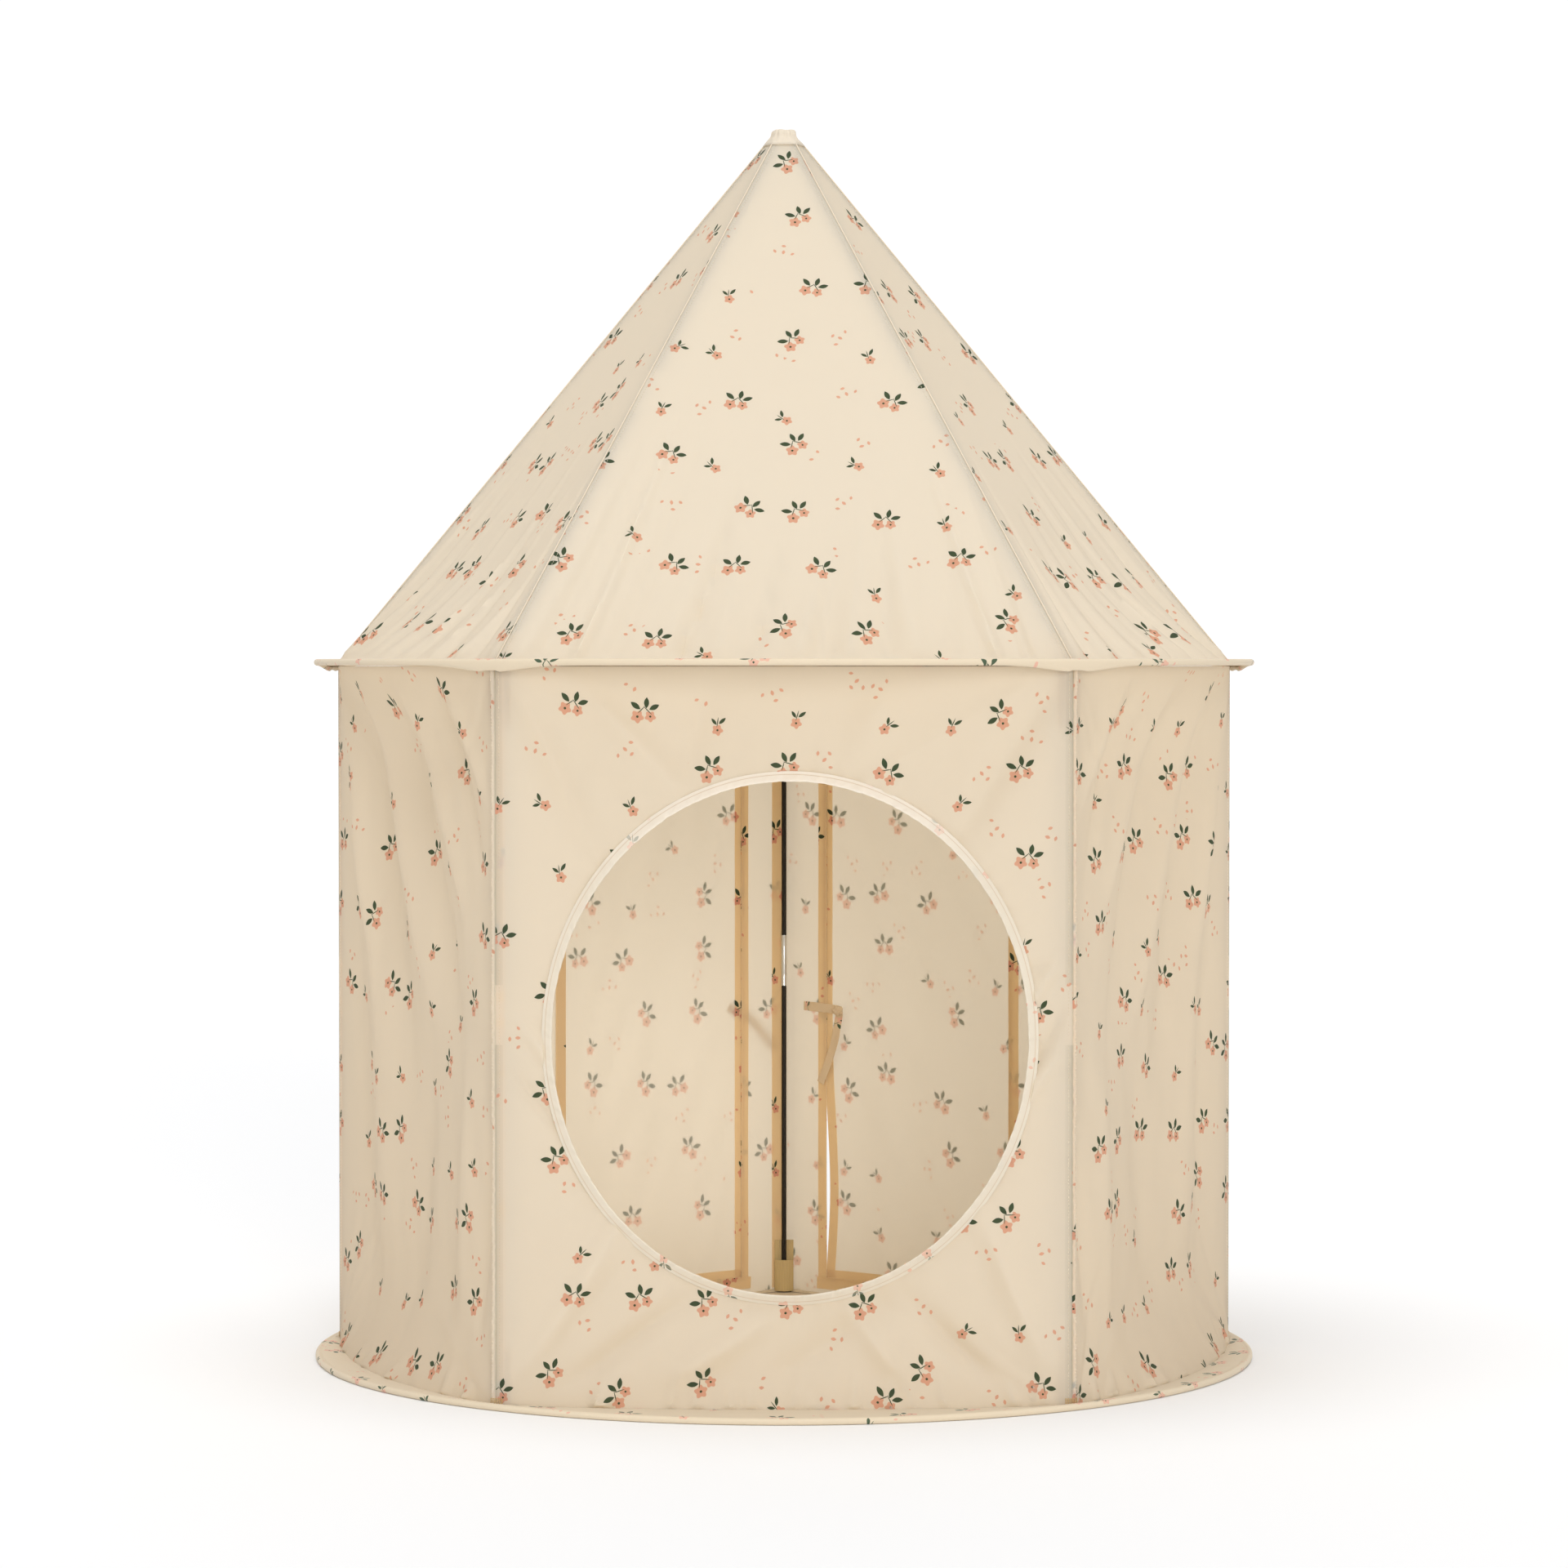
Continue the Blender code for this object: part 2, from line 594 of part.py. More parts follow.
def roof_cap(parent, shift):
    """The gathered cloth tip that closes the peak over the rods' ends."""
    bm = bmesh.new()
    low, foot_r = ROOF_TOP_Z + GAP, ROOF_SLOPE * (ROOF_PEAK_Z - ROOF_TOP_Z) - GAP
    middle = Matrix.Translation((0.0, 0.0, (low + CAP_SHOULDER_Z) / 2))
    bmesh.ops.create_cone(bm, cap_ends=True, segments=CAP_SIDES, radius1=foot_r, radius2=CAP_SHOULDER_R,
                          depth=CAP_SHOULDER_Z - low, matrix=middle)
    top = max(bm.faces, key=lambda face: face.calc_center_median().z)
    crown = bmesh.ops.extrude_discrete_faces(bm, faces=[top])["faces"][0]
    rim = bmesh.ops.extrude_face_region(bm, geom=[crown])["geom"]
    lifted = [item for item in rim if isinstance(item, bmesh.types.BMVert)]
    for vert in lifted:
        share = CAP_CROWN_R / CAP_SHOULDER_R
        vert.co = Vector((vert.co.x * share, vert.co.y * share, CAP_TOP_Z))
    bmesh.ops.delete(bm, geom=[crown], context="FACES_ONLY")
    bmesh.ops.remove_doubles(bm, verts=bm.verts, dist=0.00001)
    bmesh.ops.recalc_face_normals(bm, faces=bm.faces)
    mesh = mesh_from("roof_cap", bm)
    mesh.transform(Matrix.Translation(-shift))
    add_object("roof_cap", mesh, PRINTED_CLOTH, parent)


def roof(top_pivot):
    """The roof rides on the rear pole's top pivot: hoop, casing, five panels, poles and cap."""
    shift = polar(0.0, PIVOT_R, PIVOT_TOP_Z)
    hoop_object("eave_hoop", EAVE_Z, top_pivot).location = -shift
    joiner = joiner_object("eave_hoop_joiner", EAVE_Z, top_pivot)
    joiner.location = joiner.location - shift
    casing_object("eave_hoop_casing", EAVE_Z, FLANGE_EAVE_Z, 1, top_pivot).location = -shift
    for name, start, end, _, share, _ in SPANS:
        roof_panel(name + "_roof_panel", start, end, share, 6, 7, top_pivot).location = -shift
    roof_poles(top_pivot, shift)
    roof_cap(top_pivot, shift)


def base():
    """Floor sheet, base hoop with its casing, and the five walls."""
    reach = (HOOP_R - CASING_R) * math.cos(math.radians(SECTION_STEP / 2)) - GAP
    floor = cylinder_mesh("floor_sheet", reach, 0.0, FLOOR_T, OPENING_SIDES)
    add_object("floor_sheet", floor, FLOOR_CLOTH)
    hoop_object("base_hoop", BASE_Z, None)
    joiner_object("base_hoop_joiner", BASE_Z, None)
    casing_object("base_hoop_casing", BASE_Z, FLANGE_BASE_Z, -1, None)
    front_wall_and_rim()
    rear_walls()
    for index in (1, 3):
        name, start, end, share, _, _ = SPANS[index]
        wall_object(name + "_wall", start, end, share, 6, 8)


for old in list(bpy.data.objects):
    bpy.data.objects.remove(old)
parts = new_collection("play_tent")
cutters = new_collection("cutters")

base()
ties(door_flaps())
roof(wall_poles()["rear"])
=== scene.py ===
# %% [markdown]
# # A pop-up play tent, dressed
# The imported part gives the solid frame: two sprung hoops, five jointed poles and plain cloth sheets. This
# lesson keeps every size of that frame and gives it its looks: sewn cloth that is printed on one side, a
# bound opening, topstitched seams, satin rods, rolled ferrules and ribbed webbing.

import math

import bmesh
import bpy
import numpy as np
from mathutils import Matrix, Vector


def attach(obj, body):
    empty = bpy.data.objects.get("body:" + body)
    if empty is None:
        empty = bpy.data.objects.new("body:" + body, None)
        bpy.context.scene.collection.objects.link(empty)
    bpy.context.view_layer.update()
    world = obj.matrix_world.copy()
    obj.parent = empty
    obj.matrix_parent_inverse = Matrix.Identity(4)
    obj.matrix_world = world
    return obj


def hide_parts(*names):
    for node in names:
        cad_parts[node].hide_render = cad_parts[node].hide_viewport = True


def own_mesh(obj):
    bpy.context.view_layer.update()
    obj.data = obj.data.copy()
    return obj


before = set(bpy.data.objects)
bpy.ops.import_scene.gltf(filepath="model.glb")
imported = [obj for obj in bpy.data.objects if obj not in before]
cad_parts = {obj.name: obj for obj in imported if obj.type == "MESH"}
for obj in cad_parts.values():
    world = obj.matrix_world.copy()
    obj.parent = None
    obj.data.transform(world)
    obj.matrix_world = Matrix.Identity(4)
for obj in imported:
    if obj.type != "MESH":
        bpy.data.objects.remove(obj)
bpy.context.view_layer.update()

# %% [markdown]
# ## Where the cloth runs
# Seen from above the tent has five corners, and the cloth between two corners is nearly flat. At the
# floor and at the eave it is pulled out towards a round hoop. Two small functions give any point of a
# wall or of a roof panel, so every sewn piece is laid on the same surface.

# %% Corners and spans
CORNER_R = 0.4905
HOOP_R = 0.4965
WALL_FOOT_Z, WALL_TOP_Z = 0.0026, 0.7344
ROOF_FOOT_Z, ROOF_TOP_Z, PEAK_Z = 0.7373, 1.290, 1.3145
FLARE_HEIGHT = 0.12
# Each span: its left and right corner as seen from outside, its wall's flare and its roof panel's flare
SPANS = {
    "front": (215.6, 144.4, 0.2, 0.2),
    "right": (144.4, 81.0, 0.6, 0.6),
    "rear_right": (81.0, 0.0, 0.0, 0.45),
    "rear_left": (360.0, 279.0, 0.0, 0.45),
    "left": (279.0, 215.6, 0.6, 0.6),
}


def polar(angle, radius, z):
    turn = np.radians(angle)
    return np.stack(np.broadcast_arrays(radius * np.sin(turn), radius * np.cos(turn), z), axis=-1)


def span_length(span):
    left, right = SPANS[span][:2]
    return 2 * CORNER_R * math.sin(math.radians(left - right) / 2)


def outline(span, share, flare, corner_r):
    """Angle and radius of points that lie a share of the way from a span's left to its right corner."""
    left, right = SPANS[span][:2]
    half = math.radians(left - right) / 2
    off = np.arctan((1 - 2 * share) * math.tan(half))
    chord = corner_r * math.cos(half) / np.cos(off)
    return (left + right) / 2 + np.degrees(off), chord + flare * (corner_r - chord)


def wall_surface(span, along, z):
    foot = np.clip(1 - (z - WALL_FOOT_Z) / FLARE_HEIGHT, 0, 1)
    eave = np.clip(1 - (WALL_TOP_Z - z) / FLARE_HEIGHT, 0, 1)
    flare = SPANS[span][2] * np.maximum(foot, eave) ** 2
    angle, radius = outline(span, along / span_length(span), flare, CORNER_R)
    return polar(angle, radius, z)


def roof_surface(span, share, z):
    ridge = CORNER_R * (PEAK_Z - z) / (PEAK_Z - ROOF_FOOT_Z)
    flare = SPANS[span][3] * np.clip(1 - (z - ROOF_FOOT_Z) / FLARE_HEIGHT, 0, 1) ** 2
    angle, radius = outline(span, share, flare, ridge)
    return polar(angle, radius, z)


for name in SPANS:
    print(name, "wall is", round(span_length(name) * 1000), "mm between its corners")

# %% [markdown]
# ## Print on the cloth
# The cloth is printed on one side, and the print shows faintly through the other. The pattern is a plain
# one of sprigs and seeds, drawn by a group of shader nodes that reads the cloth's own UV map, which holds
# metres. A cell pattern gives every motif its place and turn, and plain sums draw petals, leaves and
# seeds there.

# %% Helpers for shader nodes


class Value:
    """A number in a node tree. Plain arithmetic on it adds Math nodes."""

    def __init__(self, tree, socket):
        self.tree, self.socket = tree, socket

    def do(self, operation, *others):
        return calc(self.tree, operation, self, *others)

    def __add__(self, other):
        return self.do("ADD", other)

    def __sub__(self, other):
        return self.do("SUBTRACT", other)

    def __rsub__(self, other):
        return calc(self.tree, "SUBTRACT", other, self)

    def __mul__(self, other):
        return self.do("MULTIPLY", other)

    def __abs__(self):
        return self.do("ABSOLUTE")

    def above(self, level):
        return self.do("GREATER_THAN", level)

    def below(self, level):
        return self.do("LESS_THAN", level)


def put(tree, value, socket):
    """Give a socket a link, a number, a vector or a colour."""
    if isinstance(value, Value):
        tree.links.new(value.socket, socket)
    elif isinstance(value, bpy.types.NodeSocket):
        tree.links.new(value, socket)
    elif socket.type == "RGBA":
        socket.default_value = (*value, 1.0)
    else:
        socket.default_value = value


def calc(tree, operation, *values):
    node = tree.nodes.new("ShaderNodeMath")
    node.operation = operation
    for socket, value in zip(node.inputs, values):
        put(tree, value, socket)
    return Value(tree, node.outputs[0])


def vector_calc(tree, operation, first, second):
    node = tree.nodes.new("ShaderNodeVectorMath")
    node.operation = operation
    put(tree, first, node.inputs[0])
    put(tree, second, node.inputs[1])
    return node.outputs[0]


def parts(tree, vector):
    """The three numbers of a vector."""
    node = tree.nodes.new("ShaderNodeSeparateXYZ")
    put(tree, vector, node.inputs[0])
    return [Value(tree, socket) for socket in node.outputs]


def mix_colour(tree, factor, first, second):
    node = tree.nodes.new("ShaderNodeMix")
    node.data_type = "RGBA"
    for index, value in ((0, factor), (6, first), (7, second)):
        put(tree, value, node.inputs[index])
    return node.outputs[2]


def fade(value, start, end, most):
    """Falls smoothly from most at end to nothing at start."""
    node = value.tree.nodes.new("ShaderNodeMapRange")
    node.interpolation_type = "SMOOTHSTEP"
    for socket, number in zip(("From Min", "From Max", "To Min", "To Max"), (start, end, 0.0, most)):
        node.inputs[socket].default_value = number
    put(value.tree, value, node.inputs["Value"])
    return Value(value.tree, node.outputs[0])


def new_group(name, inputs, outputs):
    """A node group with named sockets. Returns the tree, its inputs and the sockets of its output."""
    tree = bpy.data.node_groups.new(name, "ShaderNodeTree")
    for label, kind, value in inputs:
        socket = tree.interface.new_socket(name=label, in_out="INPUT", socket_type=kind)
        if value is not None:
            socket.default_value = value
    for label in outputs:
        tree.interface.new_socket(name=label, in_out="OUTPUT", socket_type="NodeSocketFloat")
    start = tree.nodes.new("NodeGroupInput")
    end = tree.nodes.new("NodeGroupOutput")
    return tree, start.outputs, end.inputs


# %% [markdown]
# A motif is drawn in its own units, with its middle at nought. Each shape below is a mask: 1 inside it and
# 0 outside. The scatter gives every spot of cloth its place in the nearest motif.

# %% Shapes of the print


def leaf(x, y, place, turn, length, width):
    """A pointed leaf."""
    dx, dy = x - place[0], y - place[1]
    cos, sin = math.cos(math.radians(turn)), math.sin(math.radians(turn))
    along = dx * (cos / length) + dy * (sin / length)
    across = dy * (cos / width) - dx * (sin / width)
    return (along * along + abs(across)).below(1.0)


def flower(x, y, place, radius):
    """A rosette of five petals round a point, and its eye."""
    dx, dy = x - place[0], y - place[1]
    turn = dy.do("ARCTAN2", dx) * 5.0
    edge = turn.do("COSINE").do("MULTIPLY_ADD", 0.15 * radius, 0.94 * radius)
    far = (dx * dx + dy * dy).do("SQRT")
    return far.below(edge), far.below(0.20 * radius)


def any_of(masks):
    total = masks[0]
    for mask in masks[1:]:
        total = total.do("MAXIMUM", mask)
    return total


def scatter(tree, uv, spacing, randomness, shift, size, swing):
    """Cells over the cloth: a turned place in the nearest motif, a number drawn for it, its distance."""
    scaled = vector_calc(tree, "ADD", vector_calc(tree, "MULTIPLY", uv, (1 / spacing,) * 3), (*shift, 0.0))
    cells = tree.nodes.new("ShaderNodeTexVoronoi")
    cells.voronoi_dimensions = "2D"
    cells.inputs["Scale"].default_value = 1.0
    cells.inputs["Randomness"].default_value = randomness
    put(tree, scaled, cells.inputs["Vector"])
    local = vector_calc(tree, "SUBTRACT", scaled, cells.outputs["Position"])
    local = vector_calc(tree, "MULTIPLY", local, (spacing / size,) * 3)
    draw = tree.nodes.new("ShaderNodeSeparateColor")
    put(tree, cells.outputs["Color"], draw.inputs[0])
    turned = tree.nodes.new("ShaderNodeVectorRotate")
    turned.rotation_type = "Z_AXIS"
    put(tree, local, turned.inputs["Vector"])
    put(tree, (Value(tree, draw.outputs[0]) - 0.5) * swing, turned.inputs["Angle"])
    x, y, _ = parts(tree, turned.outputs[0])
    return x, y, Value(tree, draw.outputs[1]), Value(tree, cells.outputs["Distance"])


# %% The print's node group
tree, given, result = new_group("sprigs_and_seeds", [("Cloth", "NodeSocketVector", None)],
                                ["Petals", "Leaves"])
x, y, draw, far = scatter(tree, given["Cloth"], 0.075, 0.62, (3.4, 7.1), 0.0152, 2.2)
first, first_eye = flower(x, y, (-0.34, -0.38), 0.40)
second, second_eye = flower(x, y, (0.46, -0.14), 0.34)
sprig_leaves = any_of([
    leaf(x, y, (-0.62, 0.28), 158.0, 0.38, 0.17), leaf(x, y, (0.02, 0.66), 100.0, 0.36, 0.16),
    leaf(x, y, (0.56, 0.52), 42.0, 0.36, 0.16), leaf(x, y, (-0.20, 0.12), 60.0, 0.34, 0.03),
    leaf(x, y, (0.20, 0.20), 150.0, 0.40, 0.03), first_eye, second_eye])
bud, bud_eye = flower(x, y, (0.0, -0.30), 0.34)
bud_leaves = any_of([
    leaf(x, y, (-0.05, 0.20), 88.0, 0.36, 0.03), leaf(x, y, (0.24, 0.34), 50.0, 0.30, 0.11),
    leaf(x, y, (-0.28, 0.22), 135.0, 0.26, 0.10), bud_eye])
is_sprig = draw.above(0.36)
is_bud = 1.0 - is_sprig
leaves = any_of([sprig_leaves * is_sprig, bud_leaves * is_bud])
petals = any_of([any_of([first, second]) * is_sprig, bud * is_bud])
x, y, draw, _ = scatter(tree, given["Cloth"], 0.070, 0.8, (9.7, 1.3), 0.0115, 6.0)
seeds = any_of([
    leaf(x, y, (0.0, 0.0), 20.0, 0.24, 0.14), leaf(x, y, (0.62, 0.34), 110.0, 0.22, 0.13),
    leaf(x, y, (-0.30, 0.74), 60.0, 0.22, 0.13), leaf(x, y, (0.24, -0.80), 150.0, 0.20, 0.12)])
seeds = seeds * far.above(0.30) * draw.above(0.3)
put(tree, any_of([petals, seeds]), result["Petals"])
put(tree, leaves, result["Leaves"])
print_group = tree
print("print group has", len(tree.nodes), "nodes")

# %% [markdown]
# ## Cloth
# Thin woven cloth lets a good part of the light through, which is why the inside of such a tent is
# bright. Each cloth material mixes a plain diffuse surface with a translucent one. On the front wall the
# black rod behind each corner is painted in as shade, a faint grey line, which a lighter patch breaks where
# the ferrule sits. On the side walls the folded seam gets a painted highlight, a lighter band.

# %% Painted shade of a rod behind the cloth
tree, given, result = new_group("rod_behind_cloth", [
    ("Edges", "NodeSocketVector", None), ("Cloth", "NodeSocketVector", None),
    ("Ferrule low", "NodeSocketFloat", 0.361), ("Ferrule high", "NodeSocketFloat", 0.420),
    ("Band", "NodeSocketFloat", 1.0)], ["Shade", "Fold_highlight"])
left, right, _ = parts(tree, given["Edges"])
nearest = left.do("MINIMUM", right)
height = parts(tree, given["Cloth"])[1]
in_ferrule = height.above(given["Ferrule low"]) * height.below(given["Ferrule high"])
# Painted shade: a soft grey band and a crisp dark line beside the seam, where a rod lies behind the cloth
band = fade(nearest, 0.0086, 0.0074, 0.22) + fade(nearest, 0.0080, 0.0010, 0.36)
band = band * given["Band"] * (1.0 - in_ferrule)
line = fade(nearest, 0.0024, 0.0016, 0.34) + fade(nearest, 0.0013, 0.0005, 0.50)
line = line * (1.0 - in_ferrule * 0.35)
put(tree, band + line, result["Shade"])
# Painted highlight: a lighter band where the folded seam stands up beside the corner
put(tree, fade(nearest, 0.0074, 0.0060, 1.0) * nearest.above(0.0016), result["Fold_highlight"])
rod_group = tree

# %% Cloth materials
PETAL = (0.85, 0.52, 0.385)
LEAF = (0.085, 0.125, 0.070)
ROD_SHADE = (0.40, 0.42, 0.33)
# Colour of the painted highlight on the side walls' folded seam
FOLD_HIGHLIGHT = (1.0, 0.93, 0.82)


def uv_map(tree, name):
    node = tree.nodes.new("ShaderNodeUVMap")
    node.uv_map = name
    return node.outputs[0]


def cloth_material(name, colour, print_share, through, rod=None, rod_shade_share=0.0, band=1.0, fold=0.0):
    """Woven cloth. through is the share of its light that comes from behind, rod the ferrule's two ends."""
    material = bpy.data.materials.new(name)
    material.use_nodes = True
    tree = material.node_tree
    surface = tree.nodes["Principled BSDF"]
    surface.inputs["Roughness"].default_value = 0.72
    surface.inputs["Sheen Weight"].default_value = 0.15
    surface.inputs["Specular IOR Level"].default_value = 0.25
    cloth = uv_map(tree, "cloth")
    shown = colour
    if rod:
        shade = tree.nodes.new("ShaderNodeGroup")
        shade.node_tree = rod_group
        for label, value in (("Edges", uv_map(tree, "edges")), ("Cloth", cloth), ("Ferrule low", rod[0]),
                             ("Ferrule high", rod[1]), ("Band", band)):
            put(tree, value, shade.inputs[label])
        # Painted highlight on the folded seam
        shown = mix_colour(tree, Value(tree, shade.outputs["Fold_highlight"]) * fold, shown, FOLD_HIGHLIGHT)
        # Painted shade of the rod behind the cloth, on the walls and under the roof's ridges
        shown = mix_colour(tree, Value(tree, shade.outputs["Shade"]) * rod_shade_share, shown, ROD_SHADE)
    if print_share:
        motifs = tree.nodes.new("ShaderNodeGroup")
        motifs.node_tree = print_group
        put(tree, cloth, motifs.inputs["Cloth"])
        for part, ink in (("Petals", PETAL), ("Leaves", LEAF)):
            shown = mix_colour(tree, Value(tree, motifs.outputs[part]) * print_share, shown, ink)
    see = tree.nodes.new("ShaderNodeBsdfTranslucent")
    put(tree, shown, surface.inputs["Base Color"])
    put(tree, shown, see.inputs["Color"])
    blend = tree.nodes.new("ShaderNodeMixShader")
    blend.inputs[0].default_value = through
    tree.links.new(surface.outputs[0], blend.inputs[1])
    tree.links.new(see.outputs[0], blend.inputs[2])
    tree.links.new(blend.outputs[0], tree.nodes["Material Output"].inputs["Surface"])
    return material


CREAM = (0.920, 0.866, 0.765)
# Painted shade and light: the side walls' cream is darker and warmer, the roof's lighter as lit from above
SIDE_SHADED_CREAM = (0.915, 0.850, 0.735)
ROOF_LIT_CREAM = (0.925, 0.885, 0.800)
THIN = 0.64
WALL_FERRULE, ROOF_FERRULE = (0.361, 0.420), (1.070, 1.129)
wall_cloth = cloth_material("printed_wall_cloth", CREAM, 1.0, THIN, rod=WALL_FERRULE, rod_shade_share=0.38)
# Side walls: painted shade of the rod's line only, and a painted highlight on their folded seam
side_cloth = cloth_material("printed_side_cloth", SIDE_SHADED_CREAM, 1.0, THIN, rod=WALL_FERRULE, rod_shade_share=0.50,
                            band=0.0, fold=0.75)
roof_cloth = cloth_material("printed_roof_cloth", ROOF_LIT_CREAM, 1.0, THIN, rod=ROOF_FERRULE, rod_shade_share=0.05)
roof_side_cloth = cloth_material("printed_roof_side_cloth", ROOF_LIT_CREAM, 1.0, THIN, rod=ROOF_FERRULE,
                                 rod_shade_share=0.12, band=0.8)
inner_cloth = cloth_material("inner_cloth", (0.955, 0.900, 0.805), 0.15, 0.66)
# Painted shade: the hems' ochre colour stands for the light the doubled cloth holds back
hem_cloth = cloth_material("hem_cloth", (0.955, 0.815, 0.585), 1.0, 0.60)
flange_cloth = cloth_material("flange_cloth", (0.83, 0.71, 0.53), 1.0, 0.20)
rim_cloth = cloth_material("rim_cloth", (0.835, 0.760, 0.630), 0.8, 0.24)

# %% [markdown]
# The binding round the opening has a darker row of stitches at a fixed distance from its seam, and its
# cloth is lighter towards its top, as painted light falling from above. Both are mixed in between its print
# and its surface.

# %% The binding's stitches and painted light
SEWN_AT, SEWN_WIDTH = 0.0022, 0.00035
tree = rim_cloth.node_tree
surface = tree.nodes["Principled BSDF"]
printed = surface.inputs["Base Color"].links[0].from_socket
across = parts(tree, uv_map(tree, "cloth"))[1]
line = abs(abs(across) - SEWN_AT).below(SEWN_WIDTH)
# Painted light: the binding's cloth is lighter towards its top, by its height
upward = parts(tree, tree.nodes.new("ShaderNodeTexCoord").outputs["Object"])[2]
painted_top_light = mix_colour(tree, fade(upward, 0.50, 0.62, 0.9), printed, (1.0, 0.92, 0.80))
sewn = mix_colour(tree, line * 0.55, painted_top_light, (0.62, 0.44, 0.27))
put(tree, sewn, surface.inputs["Base Color"])

# %% Cloth of the smaller pieces
door_cloth = cloth_material("printed_door_cloth", CREAM, 1.0, THIN)
tape_cloth = cloth_material("tape_cloth", (0.78, 0.62, 0.42), 1.0, 0.15)
tip_cloth = cloth_material("tip_cloth", (0.90, 0.83, 0.71), 0.0, 0.40)
piping_cloth = cloth_material("piping_cloth", (0.90, 0.80, 0.65), 0.0, 0.30)
floor_cloth = cloth_material("floor_cloth", (0.70, 0.58, 0.42), 0.0, 0.05)
print("cloth materials:", [m.name for m in bpy.data.materials if m.name.endswith("cloth")])

# %% [markdown]
# ## From a surface to a sewn sheet
# A sheet is laid out as a grid of points on its surface. One helper turns the grid into a closed thin
# solid: the printed face, the plain face behind it, and the cut edge between them. Soft ridges and pleats
# are added to the points first, so the folds are real geometry.

# %% Mesh helpers


def placed(name, mesh):
    """Put a mesh, a lamp or a camera in the scene as a new object."""
    obj = bpy.data.objects.new(name, mesh)
    bpy.context.scene.collection.objects.link(obj)
    return obj


def turn_faces_out(mesh):
    bm = bmesh.new()
    bm.from_mesh(mesh)
    bmesh.ops.recalc_face_normals(bm, faces=bm.faces)
    bm.to_mesh(mesh)
    bm.free()


def shade_smooth(mesh, sharp=None):
    """Smooth shading. Edges that bend by more than so many degrees stay crisp."""
    mesh.polygons.foreach_set("use_smooth", np.ones(len(mesh.polygons), bool))
    if sharp:
        mesh.set_sharp_from_angle(angle=math.radians(sharp))


def set_map(mesh, name, places):
    """A UV map from one place for each corner of each face."""
    mesh.uv_layers.new(name=name).uv.foreach_set("vector", places.astype(np.float32).ravel())


# %% Sheet builder
CLOTH_T = 0.0006


def sheet_object(name, points, quads, uvs, materials, edges=None, thickness=CLOTH_T):
    """Close a one-sided grid into a thin solid. Its quads face out and run anticlockwise."""
    points, quads = np.asarray(points, float), np.asarray(quads)
    corner = points[quads]
    facing = np.cross(corner[:, 2] - corner[:, 0], corner[:, 3] - corner[:, 1])
    normal = np.zeros_like(points)
    for column in range(4):
        np.add.at(normal, quads[:, column], facing)
    normal /= np.maximum(np.linalg.norm(normal, axis=1, keepdims=True), 1e-12)
    count = len(points)
    sides = np.concatenate([quads[:, [0, 1]], quads[:, [1, 2]], quads[:, [2, 3]], quads[:, [3, 0]]])
    lone = ~np.isin(sides[:, 0] * count + sides[:, 1], sides[:, 1] * count + sides[:, 0])
    rim = sides[lone]
    cut = np.column_stack([rim[:, 1], rim[:, 0], rim[:, 0] + count, rim[:, 1] + count])
    faces = np.concatenate([quads, quads[:, ::-1] + count, cut])
    mesh = bpy.data.meshes.new(name)
    mesh.from_pydata(np.concatenate([points, points - normal * thickness]).tolist(), [], faces.tolist())
    for label, values in (("cloth", uvs), ("edges", edges)):
        if values is not None:
            set_map(mesh, label, np.concatenate([values, values])[faces.ravel()])
    inside = np.zeros(len(faces), np.int32)
    inside[len(quads):2 * len(quads)] = len(materials) - 1
    mesh.polygons.foreach_set("material_index", inside)
    shade_smooth(mesh, sharp=50)
    for material in materials:
        mesh.materials.append(material)
    return placed(name, mesh)


def grid_quads(columns, rows, ring=False, closed=False):
    """Quads of a grid whose points run along each row first.

    A ring joins its last column to its first, and a closed grid also joins its last row to its first.
    """
    across = columns if ring else columns - 1
    start, row = np.meshgrid(np.arange(across), np.arange(rows if closed else rows - 1))
    start, row = start.ravel(), row.ravel()
    after, here, above = (start + 1) % columns, row * columns, (row + 1) % rows * columns
    return np.column_stack([here + start, here + after, above + after, above + start])


def crease(x, z, start, end, width, height):
    """A soft ridge along a line, highest at its middle."""
    dx, dz = end[0] - start[0], end[1] - start[1]
    length = math.hypot(dx, dz)
    t = ((x - start[0]) * dx + (z - start[1]) * dz) / length ** 2
    off = ((x - start[0]) * dz - (z - start[1]) * dx) / length
    return height * np.clip(1 - (2 * t - 1) ** 2, 0, 1) ** 1.2 * np.exp(-np.abs(off / width) ** 1.8)


def soft_noise(x, z, seed, scale):
    """A few slow waves that cross each other, from -1 to 1."""
    draw = np.random.default_rng(seed)
    total = np.zeros(np.broadcast(x, z).shape)
    for _ in range(6):
        turn, phase, stretch = draw.uniform(0, math.tau), draw.uniform(0, math.tau), draw.uniform(0.6, 1.5)
        total += np.sin((x * math.cos(turn) + z * math.sin(turn)) * math.tau / scale * stretch + phase)
    return total / 6


# %% [markdown]
# ## Walls
# Every wall hangs between the two hoops and two corners. It is pulled tight from corner to corner, so its
# folds are slack ones: pleats that fan from the corners' feet, a slow swell over the middle, and puckers
# where the cloth is gathered into the flanges above and below.

# %% Relief of a wall


def mirrored(folds):
    return [((1 - a[0], a[1]), (1 - b[0], b[1]), width, height) for a, b, width, height in folds]


